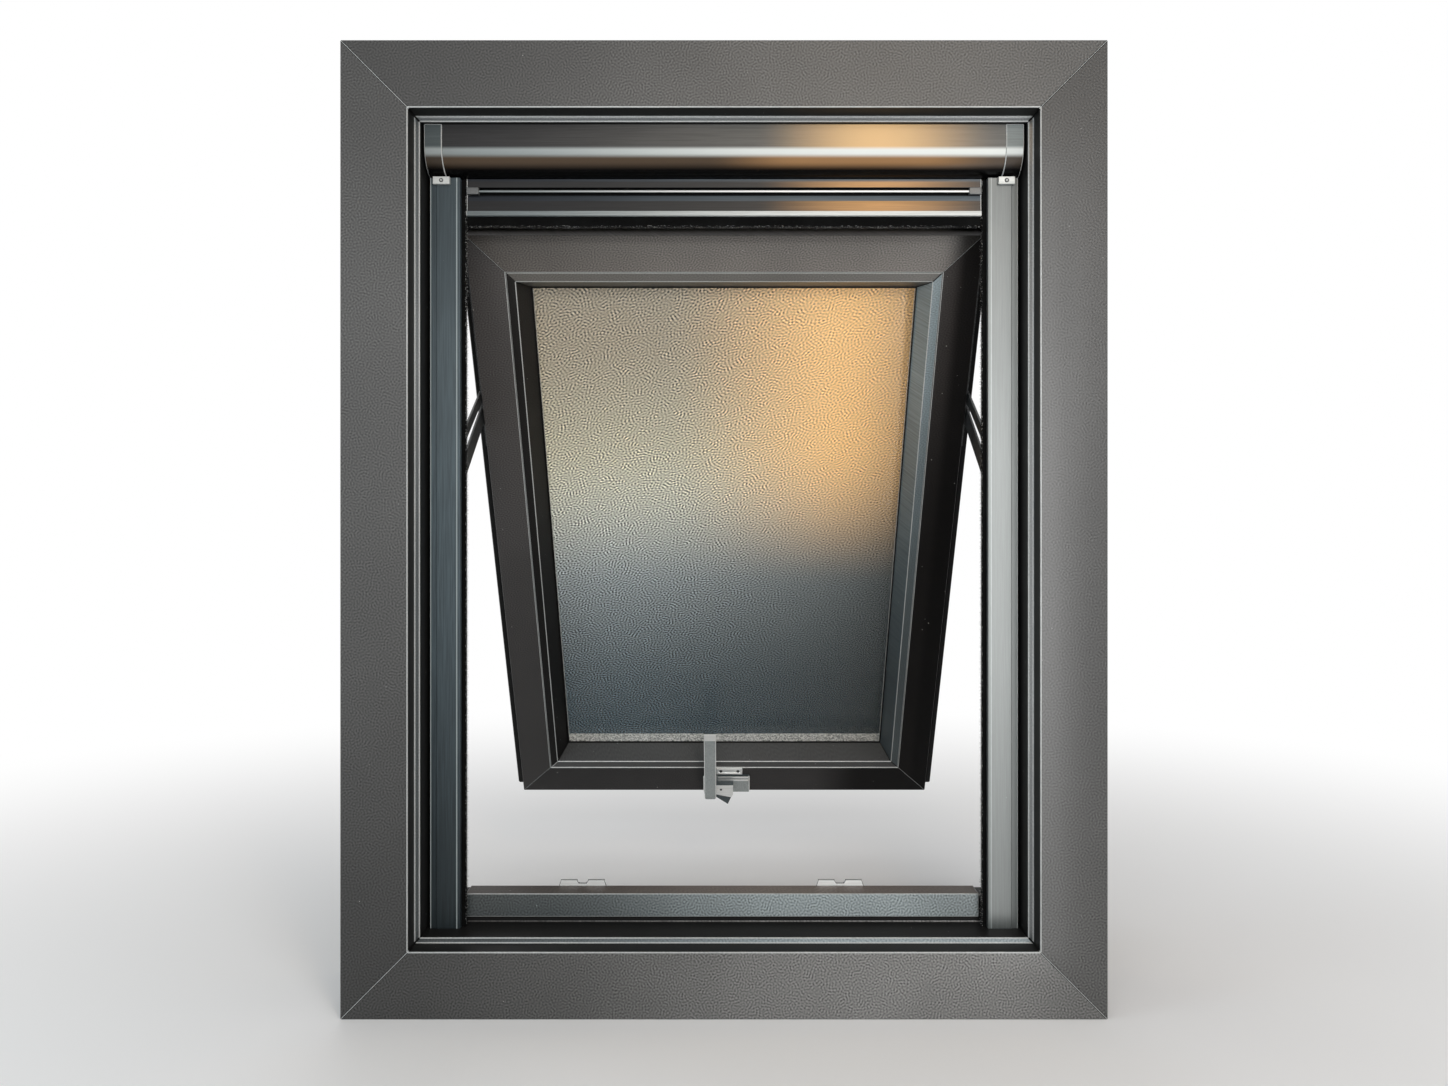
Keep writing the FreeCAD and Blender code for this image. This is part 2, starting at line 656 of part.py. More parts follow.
def handle():
    where = SASH + " * " + place("0", "0", "-sash_height")
    base = new_body("handle_base", where)
    plate = sketch_on(base, "XZ_Plane")
    left = "base_shift - base_width / 2"
    right = "base_shift + base_width / 2"
    rectangle(plate, left, "0", right, "base_height")
    circle(plate, "pivot_shift", "pivot_height", "spindle_bore + 2 * spindle_clear")
    slab = pad(plate, "base_depth")

    def slab_corner(edge):
        off_middle = abs(edge.CenterOfMass.x - value("base_shift"))
        return edge.BoundBox.YLength > 0 and abs(off_middle - value("base_width / 2")) < value("base_corner") / 10

    dress(slab, "Fillet", "Radius", "base_corner", slab_corner)
    ribs = sketch_on(base, "XZ_Plane", "base_depth")
    for top in ("base_height", "base_height - rib_height - rib_gap"):
        rib_start = "pivot_shift + hub_bore / 2 + hub_clear + rib_gap"
        rectangle(ribs, rib_start, f"{top} - rib_height", f"{right} - rib_inset", top)
    pad(ribs, "rib_rise")
    keep_left = "keep_shift - keep_width / 2"
    keep = new_body("handle_keep_plate", where + " * " + place(keep_left, "0", "keep_drop"))
    back = sketch_on(keep, "XZ_Plane")
    rectangle(back, "0", "0", "keep_width", "keep_height")
    pad(back, "keep_depth - keep_recess")
    rim = sketch_on(keep, "XZ_Plane", "keep_depth - keep_recess")
    rectangle(rim, "0", "0", "keep_width", "keep_height")
    rectangle(rim, "keep_rim", "keep_rim", "keep_width - keep_rim", "keep_height - keep_rim")
    pad(rim, "keep_recess")

    lever = new_body("handle_lever", where + " * " + place("pivot_shift", "0", "pivot_height"))
    spindle = sketch_on(lever, "XZ_Plane", "spindle_clear")
    circle(spindle, "0", "0", "spindle_bore")
    pad(spindle, "lever_near - spindle_clear")
    hub = sketch_on(lever, "XZ_Plane", "base_depth + hub_clear")
    circle(hub, "0", "0", "hub_bore")
    pad(hub, "lever_near - base_depth - hub_clear")
    nose = sketch_on(lever, "XZ_Plane", "nose_near")
    outline(nose, [
        ("hub_side", "-hub_bore / 2"), ("nose_reach - nose_point", "-nose_drop"), ("nose_reach", "-hub_side"),
        ("nose_reach", "nose_top"), ("hub_side", "nose_top"),
    ])
    pad(nose, "nose_depth")
    shelf = sketch_on(lever, "XZ_Plane", "nose_near + nose_depth")
    shelf_end = "shelf_drop + shelf_fall"
    slope = f"({shelf_end} - hub_side) / (nose_drop - hub_side)"
    outline(shelf, [
        ("hub_side", "-shelf_drop"), (f"nose_reach - nose_point * {slope}", f"-({shelf_end})"),
        ("nose_reach", "-hub_side"), ("nose_reach", "nose_top"), ("hub_side", "nose_top"),
    ])
    pad(shelf, "shelf_rise")
    grip = sketch_on(lever, "YZ_Plane")
    front = "-(lever_near + lever_depth)"
    outline(grip, [
        ("-lever_near", "-lever_tail"), ("-lever_near", "lever_length"),
        ("-(lever_near + lever_tip)", "lever_length"), (front, "lever_length - lever_bevel"),
        (front, "-lever_tail"),
    ])
    run = pad(grip, "lever_width", "Symmetric")

    def tail_corner(edge):
        middle = edge.CenterOfMass
        low = abs(middle.z + value("lever_tail")) < value("lever_corner") / 10
        return low and abs(abs(middle.x) - value("lever_width / 2")) < value("lever_corner") / 10

    rounded = dress(run, "Fillet", "Radius", "lever_corner", tail_corner)

    def front_rim(edge):
        return abs(edge.CenterOfMass.y + value("lever_near + lever_depth")) < value("lever_edge") / 10

    dress(rounded, "Chamfer", "Size", "lever_edge", front_rim)


frame()
sill_fittings()
cassette()
guide_rails()
pull_bar()
sash()
glazing()
stays()
handle()
doc.recompute()

for item in doc.Objects:
    if "Invalid" in item.State or "Error" in item.State:
        raise ValueError(f"{item.Label} did not build: {item.State}")
for piece in pieces:
    if piece.Shape.isNull() or not piece.Shape.isValid() or not piece.Shape.Solids:
        raise ValueError(f"{piece.Label} has no sound shape")

os.makedirs("parts", exist_ok=True)
for piece in pieces:
    piece.Shape.exportStep(os.path.join("parts", piece.Label + ".step"))
print(len(pieces), "pieces written")
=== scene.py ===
# %% [markdown]
# # A top hung window, dressed for its portrait
# The window is already built as solids: a mitred frame, a roller screen in its reveal, a tilted sash with
# double glazing, two friction stays and a handle. This lesson gives each of those solids its finish and
# adds what is too small for the solids, such as brush bristles and screws. Nothing is moved or resized.

# %% Load the solids
import json
import math

import bmesh
import bpy
from mathutils import Matrix, Vector

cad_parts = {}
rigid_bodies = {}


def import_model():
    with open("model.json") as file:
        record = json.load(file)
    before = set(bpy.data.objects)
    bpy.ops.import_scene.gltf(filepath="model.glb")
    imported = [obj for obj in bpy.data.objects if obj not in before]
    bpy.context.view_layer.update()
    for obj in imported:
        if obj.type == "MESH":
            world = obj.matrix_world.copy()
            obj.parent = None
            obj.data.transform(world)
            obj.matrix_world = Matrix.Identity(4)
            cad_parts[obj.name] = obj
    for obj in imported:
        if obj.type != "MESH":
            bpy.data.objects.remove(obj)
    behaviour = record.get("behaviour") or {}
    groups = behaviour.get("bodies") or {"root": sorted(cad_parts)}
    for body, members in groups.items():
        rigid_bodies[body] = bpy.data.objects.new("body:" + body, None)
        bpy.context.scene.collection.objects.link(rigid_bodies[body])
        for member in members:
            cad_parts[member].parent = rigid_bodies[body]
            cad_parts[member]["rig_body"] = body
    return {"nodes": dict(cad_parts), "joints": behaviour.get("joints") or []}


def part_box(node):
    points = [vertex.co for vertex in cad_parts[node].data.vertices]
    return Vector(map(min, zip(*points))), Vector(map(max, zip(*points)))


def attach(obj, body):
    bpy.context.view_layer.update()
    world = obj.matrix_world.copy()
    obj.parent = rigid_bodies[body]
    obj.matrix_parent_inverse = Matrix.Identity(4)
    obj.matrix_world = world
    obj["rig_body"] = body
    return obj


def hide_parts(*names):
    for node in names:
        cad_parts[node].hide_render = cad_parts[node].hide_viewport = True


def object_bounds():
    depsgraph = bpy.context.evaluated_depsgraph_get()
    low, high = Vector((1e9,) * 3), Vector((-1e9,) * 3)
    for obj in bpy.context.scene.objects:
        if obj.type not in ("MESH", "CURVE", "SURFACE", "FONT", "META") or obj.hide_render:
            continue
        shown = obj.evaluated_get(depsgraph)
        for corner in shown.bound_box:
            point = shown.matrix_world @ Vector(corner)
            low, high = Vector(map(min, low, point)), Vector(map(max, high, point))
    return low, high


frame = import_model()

solid_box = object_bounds()
nodes = frame["nodes"]
print("solids loaded:", len(nodes))

# %% [markdown]
# ## The camera
# The picture is 1448 by 1086 pixels. Its viewpoint was found from the frame: the outer edges and the
# inner opening lie at different depths, so their sizes in pixels give the distance and the focal length.
# The camera looks straight at the face from about its middle, so every upright edge stays upright.

# %% Place the camera
MM = 0.001
PICTURE_WIDTH = 1448
PICTURE_HEIGHT = 1086
FOCAL_PIXELS = 1106
AXIS_PIXEL = (725, 527.7)
SENSOR_WIDTH = 36
EYE_DISTANCE = 1080 * MM
EYE_ACROSS = 1 * MM
EYE_HEIGHT = 480.5 * MM
scene = bpy.context.scene


def linked(name, data):
    """A new object that shows this data, linked into the scene."""
    thing = bpy.data.objects.new(name, data)
    scene.collection.objects.link(thing)
    return thing


def mesh_of(name, points, edges=(), faces=()):
    mesh = bpy.data.meshes.new(name)
    mesh.from_pydata(points, edges, faces)
    return mesh


def mesh_from(shape, name):
    """Keeps a shape that was edited as a mesh."""
    mesh = bpy.data.meshes.new(name)
    shape.to_mesh(mesh)
    shape.free()
    return mesh


face_plane = solid_box[0][1]
eye = Vector((EYE_ACROSS, face_plane - EYE_DISTANCE, EYE_HEIGHT))
lens = bpy.data.cameras.new("portrait_lens")
lens.sensor_width = SENSOR_WIDTH
lens.lens = SENSOR_WIDTH * FOCAL_PIXELS / PICTURE_WIDTH
lens.shift_x = (PICTURE_WIDTH / 2 - AXIS_PIXEL[0]) / PICTURE_WIDTH
lens.shift_y = (AXIS_PIXEL[1] - PICTURE_HEIGHT / 2) / PICTURE_WIDTH
camera = linked("portrait_camera", lens)
camera.location = eye
camera.rotation_euler = (math.pi / 2, 0, 0)
scene.camera = camera
print("lens", round(lens.lens, 2), "mm at", [round(v, 3) for v in eye])

# %% [markdown]
# ## Small helpers for shader nodes
# Every finish below is a node tree. Writing `tree.nodes.new` and setting sockets one by one is long, so
# one helper makes a node, sets its properties and fills or links its inputs. Colours are written the way
# a paint chart gives them, 0 to 255, and turned into the linear values that a shader works with.

# %% Node helpers
def add_node(tree, kind, inputs=None, give=0, **settings):
    """Adds a node, sets it up, fills or links its inputs, and gives one of its outputs, or all for None."""
    node = tree.nodes.new(kind)
    for key, value in settings.items():
        setattr(node, key, value)
    for key, value in (inputs or {}).items():
        if isinstance(value, bpy.types.NodeSocket):
            tree.links.new(value, node.inputs[key])
        else:
            node.inputs[key].default_value = value
    return node.outputs if give is None else node.outputs[give]


def tone(red, green, blue):
    """Linear light of a colour from the chart, by the standard curve of a screen."""
    def linear(channel):
        share = channel / 255
        return share / 12.92 if share <= 0.04045 else ((share + 0.055) / 1.055) ** 2.4
    return (linear(red), linear(green), linear(blue), 1)


def math_node(tree, operation, first, second=0.0):
    return add_node(tree, "ShaderNodeMath", {0: first, 1: second}, operation=operation)


def ramp(tree, value, low, high, start=0.0, end=1.0, shape="SMOOTHSTEP"):
    """A value that goes from start to end while its input goes from low to high."""
    limits = {"Value": value, "From Min": low, "From Max": high, "To Min": start, "To Max": end}
    return add_node(tree, "ShaderNodeMapRange", limits, interpolation_type=shape)


def split(tree, coords):
    return add_node(tree, "ShaderNodeSeparateXYZ", {"Vector": coords}, None)


def blend(tree, share, first, second, how="MIX"):
    """Mixes two colours: inputs 0, 6 and 7 of the Mix node are the share and the two colours."""
    sockets = {0: share, 6: first, 7: second}
    return add_node(tree, "ShaderNodeMix", sockets, 2, data_type="RGBA", blend_type=how)


def new_material(name):
    """A material, its tree, and the coordinates of the object that wears it."""
    material = bpy.data.materials.new(name)
    material.use_nodes = True
    tree = material.node_tree
    return material, tree, add_node(tree, "ShaderNodeTexCoord", give="Object")


def show(tree, surface):
    tree.links.new(surface, tree.nodes["Material Output"].inputs["Surface"])


def dim(tree, colour, share):
    return add_node(tree, "ShaderNodeVectorMath", {0: colour, "Scale": share}, operation="SCALE")


print("mid grey 128 is", round(tone(128, 128, 128)[0], 3), "in linear light")

# %% [markdown]
# ## Floor and surroundings
# The window stands on a plain pale floor. The world is white to the eye and in reflections, but it lights
# the part gently, which the Light Path node keeps apart. Far from the window the floor fades into the
# same white, so no horizon line cuts the picture, while near the window it is plain matt paint that takes
# a shadow.

# %% Build the world and the floor
FILL_LIGHT = 0.42
FLOOR_TONE = tone(243, 243, 243)
FLOOR_ROUGHNESS = 0.9
FLOOR_RADIUS = 7.0
FLOOR_FADE = (0.3, 1.9)
FLOOR_SIDES = 96


def seen_directly(tree):
    """1 for rays that show the surroundings to the eye, in a reflection or through glass."""
    path = add_node(tree, "ShaderNodeLightPath", give=None)
    shown = math_node(tree, "MAXIMUM", path["Is Camera Ray"], path["Is Glossy Ray"])
    return math_node(tree, "MAXIMUM", shown, path["Is Transmission Ray"])


def build_world():
    world = bpy.data.worlds.new("studio_white")
    world.use_nodes = True
    tree = world.node_tree
    strength = ramp(tree, seen_directly(tree), 0, 1, FILL_LIGHT, 1.0)
    background = tree.nodes["Background"]
    background.inputs["Color"].default_value = (1, 1, 1, 1)
    tree.links.new(strength, background.inputs["Strength"])
    scene.world = world


def build_floor():
    shape = bmesh.new()
    bmesh.ops.create_circle(shape, cap_ends=True, segments=FLOOR_SIDES, radius=FLOOR_RADIUS)
    floor = linked("studio_floor", mesh_from(shape, "studio_floor"))
    material, tree, coords = new_material("floor_paint")
    shader = tree.nodes["Principled BSDF"]
    shader.inputs["Base Color"].default_value = FLOOR_TONE
    shader.inputs["Roughness"].default_value = FLOOR_ROUGHNESS
    shader.inputs["Specular IOR Level"].default_value = 0.0
    distance = add_node(tree, "ShaderNodeVectorMath", {0: coords}, "Value", operation="LENGTH")
    faded = math_node(tree, "MULTIPLY", ramp(tree, distance, *FLOOR_FADE), seen_directly(tree))
    glow = add_node(tree, "ShaderNodeEmission", {"Strength": 1.0})
    show(tree, add_node(tree, "ShaderNodeMixShader", {0: faded, 1: shader.outputs[0], 2: glow}))
    floor.data.materials.append(material)


build_world()
build_floor()
scene.view_settings.view_transform = "Standard"
print("floor radius", FLOOR_RADIUS, "m, fill light", FILL_LIGHT)

# %% [markdown]
# ## Studio light
# Satin metal has no colour of its own: it shows what it faces. Each soft box is therefore placed by
# mirror geometry: a face towards the room mirrors the plane of the lights at about twice its own offset
# from the optical axis. A tall box on the right brightens that side, a long strip a little above the eye
# draws the bright band along the round screen case, and a small warm lamp higher up gives its glow. A
# large box behind the window keeps its outer side readable.

# %% Hang the lights
LIGHT_PLANE = eye.y - 0.16
STRIP_PLANE = LIGHT_PLANE - 0.1
WHITE_LIGHT = (1, 1, 1)
WARM_LIGHT = (1.0, 0.68, 0.36)
COOL_LIGHT = (0.72, 0.9, 1.0)


def soft_box(name, place, aim, size, radiance, colour):
    """An even panel. Its power follows from its area, so that radiance alone sets how bright it mirrors."""
    light = bpy.data.lights.new(name, "AREA")
    light.shape = "RECTANGLE"
    light.size, light.size_y = size
    light.energy = math.pi * size[0] * size[1] * radiance
    light.color = colour
    lamp = linked(name, light)
    lamp.location = place
    lamp.rotation_euler = (Vector(aim) - Vector(place)).to_track_quat("-Z", "Y").to_euler()
    lamp.visible_camera = False


soft_boxes = [
    ("right_tall_box", (0.50, LIGHT_PLANE, 0.62), (0.25, 0, 0.55), (0.36, 1.5), 3.4, WHITE_LIGHT),
    ("eye_level_strip", (0.12, STRIP_PLANE, 0.86), (0.05, 0, 0.7), (1.7, 0.15), 10.0, WHITE_LIGHT),
    ("warm_lamp", (0.325, LIGHT_PLANE, 1.28), (0.14, 0, 0.85), (0.22, 0.40), 8.0, WARM_LIGHT),
    ("left_cool_box", (-1.35, -0.75, 0.6), (0.1, 0.1, 0.5), (0.5, 1.1), 2.2, COOL_LIGHT),
    ("outside_box", (-0.6, 2.4, 2.2), (0, 0, 0.5), (2.2, 1.6), 1.6, WHITE_LIGHT),
]
for panel in soft_boxes:
    soft_box(*panel)
print("soft boxes hung:", len(soft_boxes))

# %% [markdown]
# ## A card for the right guide rail
# The right rail is bright from end to end, while its neighbours are not. A photographer holds a white
# card close to such a piece, where only that piece mirrors it. The card here is seen by reflections
# alone, so it neither lights the coat beside it nor shows in any view. It is brightest at the rail's
# middle.

# %% Hold the card
CARD_GAP = 0.10
CARD_WIDTH = 0.075
CARD_CORE = 0.05
CARD_BRIGHT = 5.6
CARD_DIM = 2.8
CARD_HIDDEN_FROM = ("camera", "diffuse", "transmission", "shadow", "volume_scatter")


def rail_card(node):
    """Holds a card where the rail mirrors it to the eye, and returns how far across it hangs."""
    low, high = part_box(node)
    front = low.y - CARD_GAP
    spread = (low.y - front) / (low.y - eye.y) + 1
    middle = eye.x + ((low.x + high.x) / 2 - eye.x) * spread
    bottom, top = (eye.z + (edge - eye.z) * spread for edge in (low.z, high.z))
    left, right = middle - CARD_WIDTH / 2, middle + CARD_WIDTH / 2
    corners = [(left, front, bottom), (right, front, bottom), (right, front, top), (left, front, top)]
    card = linked("rail_card", mesh_of("rail_card", corners, faces=[(3, 2, 1, 0)]))
    for kind in CARD_HIDDEN_FROM:
        setattr(card, "visible_" + kind, False)
    paper, tree, coords = new_material("card_paper")
    tree.nodes.remove(tree.nodes["Principled BSDF"])
    up = split(tree, coords)[2]
    off_centre = math_node(tree, "ABSOLUTE", math_node(tree, "SUBTRACT", up, (bottom + top) / 2))
    level = ramp(tree, off_centre, CARD_CORE, (top - bottom) / 2, CARD_BRIGHT, CARD_DIM)
    show(tree, add_node(tree, "ShaderNodeEmission", {"Strength": level}))
    card.data.materials.append(paper)
    return middle


print("card held at", round(rail_card("guide_rail_right"), 3), "m across")

# %% [markdown]
# ## Coats, metals and plastics
# The frame and the sash wear a powder coat with a fine winding ripple, like orange peel. Gabor noise is
# built from short waves of one length, which is just such a ripple, so it gives the bump and also a painted
# relief shade: darker hollows and lighter crests. Light also falls unevenly over so large a piece, and
# that is painted too. A fall is one soft ramp along an axis, and a finish may have several: they dim or
# lift its tone from one end to the other as painted light and shade. Every finish takes its tones as
# chart colours.

# %% Shared textures
DEPTH_SHEAR = 0.6


def start_finish(name, roughness, gloss, metal=0.0):
    material, tree, coords = new_material(name)
    shader = tree.nodes["Principled BSDF"]
    shader.inputs["Roughness"].default_value = roughness
    shader.inputs["Specular IOR Level"].default_value = gloss
    shader.inputs["Metallic"].default_value = metal
    return material, tree, shader, coords


def paint(tree, shader, colour):
    tree.links.new(colour, shader.inputs["Base Color"])


def noise(tree, coords, scale, detail=2.0, roughness=0.5):
    inputs = {"Vector": coords, "Scale": scale, "Detail": detail, "Roughness": roughness}
    return add_node(tree, "ShaderNodeTexNoise", inputs)


def ripple(tree, coords, wavelength, waves=2.2):
    """0 to 1 across each ridge of a winding ripple. Depth is sheared in, so that no side shows stripes."""
    across, depth, up = split(tree, coords)
    sheared = math_node(tree, "MULTIPLY", depth, DEPTH_SHEAR)
    right, rise = math_node(tree, "ADD", across, sheared), math_node(tree, "SUBTRACT", up, sheared)
    flat = add_node(tree, "ShaderNodeCombineXYZ", {0: right, 1: rise})
    return add_node(tree, "ShaderNodeTexGabor", {
        "Vector": flat, "Scale": 1 / (wavelength * waves), "Frequency": waves, "Anisotropy": 0.0,
    })


def painted_light_fall(tree, coords, falls):
    """The product of soft ramps, which paint light and shade along a piece. Each fall has an axis, where it
    starts and ends, and its values there.
    """
    axes = split(tree, coords)
    share = 1.0
    for axis, start, end, first, last in falls:
        part = ramp(tree, axes["XYZ".index(axis)], start, end, first, last)
        share = math_node(tree, "MULTIPLY", part, share)
    return share


def bump(tree, shader, height, depth):
    """Makes a height into a bump of some depth in mm."""
    normal = add_node(tree, "ShaderNodeBump", {"Height": height, "Distance": depth * MM, "Strength": 1.0})
    tree.links.new(normal, shader.inputs["Normal"])


print("ripple, falls and bump ready")

# %% Powder coats
COARSE = 3.0 * MM
FINE = 3.1 * MM
GRAIN_SCALE = 1500
COAT_CLOUDS = 9.0
COAT_SPECKS = 420


def grey_clouds(tree, value):
    """Greys around the middle tone, for the uneven look of a large coated face."""
    share = ramp(tree, value, 0.3, 0.7, 0.38, 0.62)
    return add_node(tree, "ShaderNodeCombineColor", {0: share, 1: share, 2: share})


def powder_coat(name, tones, depth, roughness, gloss, falls=(), wavelength=FINE):
    """The tones are those of the hollows, of the crests and of a few specks. The darker hollows and
    lighter crests are a painted relief shade, and the falls paint light and shade. The depth is the
    ripple's.
    """
    material, tree, shader, coords = start_finish(name, roughness, gloss)
    low, high, speck = (tone(*shade) for shade in tones)
    grain = ripple(tree, coords, wavelength)
    fine = noise(tree, coords, GRAIN_SCALE, 1.0)
    clouds = grey_clouds(tree, noise(tree, coords, COAT_CLOUDS, 3.0))
    # Painted relief shade: the ripple's hollows take the darker tone and its crests the lighter.
    colour = blend(tree, ramp(tree, grain, 0.15, 0.85), low, high)
    colour = blend(tree, ramp(tree, fine, 0.35, 0.75, 0.0, 0.3), colour, high)
    colour = blend(tree, 0.35, colour, clouds, "OVERLAY")
    # Painted light and shade along the piece.
    colour = dim(tree, colour, painted_light_fall(tree, coords, falls))
    specks = ramp(tree, noise(tree, coords, COAT_SPECKS, 0.0), 0.885, 0.90)
    paint(tree, shader, blend(tree, specks, colour, speck))
    bump(tree, shader, grain, depth)
    return material


# One coat for the four frame members, in four copies. The crests and hollows carry the painted relief
# shade, and each copy's falls paint the light and shade of its member: the sill and the head brighten
# towards the right and dim again at the far end, and the jambs dim along their height.
frame_tones = ((31, 31, 31), (95, 95, 94), (150, 150, 148))
frame_painted_falls = {
    "sill": [("X", -0.34, 0.20, 0.50, 2.3), ("X", 0.24, 0.36, 1.0, 0.64)],
    "head": [("X", -0.34, 0.08, 0.48, 1.06), ("X", 0.22, 0.36, 1.0, 0.90)],
    "left_jamb": [("Z", 0.05, 0.50, 0.40, 0.78), ("Z", 0.70, 0.95, 1.0, 0.78)],
    "right_jamb": [("Z", 0.02, 0.40, 0.88, 0.52)],
}
frame_coats = {
    side: powder_coat("frame_coat_" + side, frame_tones, 0.18, 0.46, 0.5, falls, COARSE)
    for side, falls in frame_painted_falls.items()
}
# One sash coat in a copy for each member, whose tones and falls paint the light and shade it takes: the top
# rail and the left stile lit, lighter upwards and to the right, the bottom rail and the right stile darker.
# A painted shadow falls over the right end of the top rail, the outer side of the right stile and the right
# part of the bottom rail.
sash_looks = {
    "top": (
        (60, 57, 54), (112, 107, 102), 0.45,
        [("X", -0.25, 0.0, 0.72, 1.14), ("X", 0.236, 0.262, 1.0, 0.25)],
    ),
    "left": ((38, 36, 36), (70, 68, 67), 0.45, [("Z", 0.15, 0.62, 0.62, 1.4)]),
    "bottom": (
        (48, 47, 47), (63, 62, 62), 0.15,
        [("X", -0.2, 0.05, 0.85, 1.08), ("X", 0.11, 0.19, 1.0, 0.15)],
    ),
    "right": (
        (22, 20, 20), (33, 31, 30), 0.14,
        [("Z", 0.45, 0.78, 0.7, 3.2), ("X", 0.250, 0.264, 1.0, 0.35)],
    ),
}
# The beads likewise, one coat in four copies with painted light and shade: the left bead shaded dark, the
# right one lit, and both lighter upwards.
bead_looks = {
    "top": ((70, 68, 65), (92, 90, 86), 0.45, []),
    "left": ((20, 19, 19), (30, 29, 28), 0.15, [("Z", 0.2, 0.7, 0.7, 1.3)]),
    "bottom": ((60, 61, 61), (74, 75, 75), 0.45, []),
    "right": ((60, 68, 71), (80, 89, 92), 0.45, [("Z", 0.32, 0.72, 0.9, 2.8)]),
}


def coats_by_place(prefix, looks, speck, depth, roughness):
    return {
        place: powder_coat(prefix + place, (low, high, speck), depth, roughness, gloss, falls)
        for place, (low, high, gloss, falls) in looks.items()
    }


sash_coats = coats_by_place("sash_coat_", sash_looks, (150, 148, 144), 0.08, 0.42)
bead_coats = coats_by_place("bead_coat_", bead_looks, (140, 142, 142), 0.05, 0.40)
# A near-black coat that paints the shade on the walls of the reveal and in the V of each mitre.
reveal_coat = powder_coat(
    "reveal_shade_coat", ((16, 16, 16), (25, 25, 25), (120, 124, 124)), 0.05, 0.5, 0.15,
)
step_tones = ((46, 51, 53), (68, 74, 76), (150, 156, 156))
step_coat = powder_coat("step_slate_coat", step_tones, 0.04, 0.34, 0.7)
# The sill's step is a lit copy of the step coat: its falls paint light that brightens it strongly towards
# the right.
sill_step_coat = powder_coat(
    "step_slate_coat_sill", step_tones, 0.04, 0.34, 0.7,
    [("X", -0.27, 0.16, 1.0, 6.2), ("X", 0.18, 0.30, 1.0, 0.9)],
)
# The eased edges and the mitre seams take this light coat: a painted highlight where rounded edges catch
# the light.
edge_highlight = powder_coat("painted_edge_highlight", ((154, 158, 158), (178, 181, 180), (225, 227, 225)), 0.03, 0.32, 0.6)
# A stronger painted edge highlight, for the pull bar and the bottom of the sash.
strong_edge_highlight = powder_coat("painted_strong_edge_highlight", ((205, 209, 208), (236, 238, 236), (244, 245, 244)), 0.02, 0.34, 0.6)
# The cover strip's front: its falls paint a broad highlight that lifts it strongly towards the right,
# dimmed again at the far right end.
strip_front = powder_coat(
    "sill_strip_slate", ((38, 43, 45), (90, 96, 97), (150, 160, 160)), 0.06, 0.36, 0.5,
    [("X", -0.20, 0.13, 0.9, 4.4), ("X", 0.15, 0.26, 1.0, 0.65)],
)
# Its top: falls paint light that lifts it towards the middle right and dims it at both ends.
strip_top = powder_coat(
    "sill_strip_matt", ((74, 69, 66), (94, 88, 84), (130, 130, 128)), 0.03, 0.55, 0.2,
    [("X", -0.25, 0.06, 0.68, 2.2), ("X", 0.10, 0.25, 1.0, 0.6)],
)
print("coats for the frame, sash and beads:", len(frame_coats) + len(sash_coats) + len(bead_coats))

# %% Satin metals
COOL_CAST = (0.84, 0.96, 1.0, 1)
PLAIN_CAST = (0.97, 1.0, 0.98, 1)
UNDRAWN = (1, 1, 1)
ALONG_X = (0.02, 1, 1)
ALONG_Z = (1, 1, 0.02)
ALONG_LEVER = (1, 1, 0.06)
STREAK_SCALE = 900
STREAK_DEPTH = 0.01
METAL_CLOUDS = 14
METAL_SPECKS = 460
SPECK_TONE = tone(170, 175, 175)
# Where the painted glow of the warm lamp lies across the case and the pull bar, and how far it reaches.
GLOW_PLACE = 0.155
GLOW_REACH = 0.125
LINE_BLUR = 0.3 * MM


def drawn_streaks(tree, coords, drawn):
    """Fine noise, stretched the way the metal was drawn."""
    stretched = add_node(tree, "ShaderNodeMapping", {"Vector": coords, "Scale": drawn})
    return noise(tree, stretched, STREAK_SCALE, 3.0, 0.6)


def painted_lamp_glow(tree, coords):
    """A painted reflection of the warm lamp: 1 where the lamp stands opposite, falling softly to 0 on both
    sides.
    """
    off = math_node(tree, "SUBTRACT", split(tree, coords)[0], GLOW_PLACE)
    return ramp(tree, math_node(tree, "ABSOLUTE", off), 0.0, GLOW_REACH, 1.0, 0.0)


def painted_highlight_line(tree, coords, start, end):
    """A painted highlight line: 1 between two distances from the middle of the window, with soft edges."""
    off = math_node(tree, "ABSOLUTE", split(tree, coords)[0])
    rise = ramp(tree, off, start - LINE_BLUR, start)
    return math_node(tree, "MULTIPLY", rise, ramp(tree, off, end, end + LINE_BLUR, 1.0, 0.0))


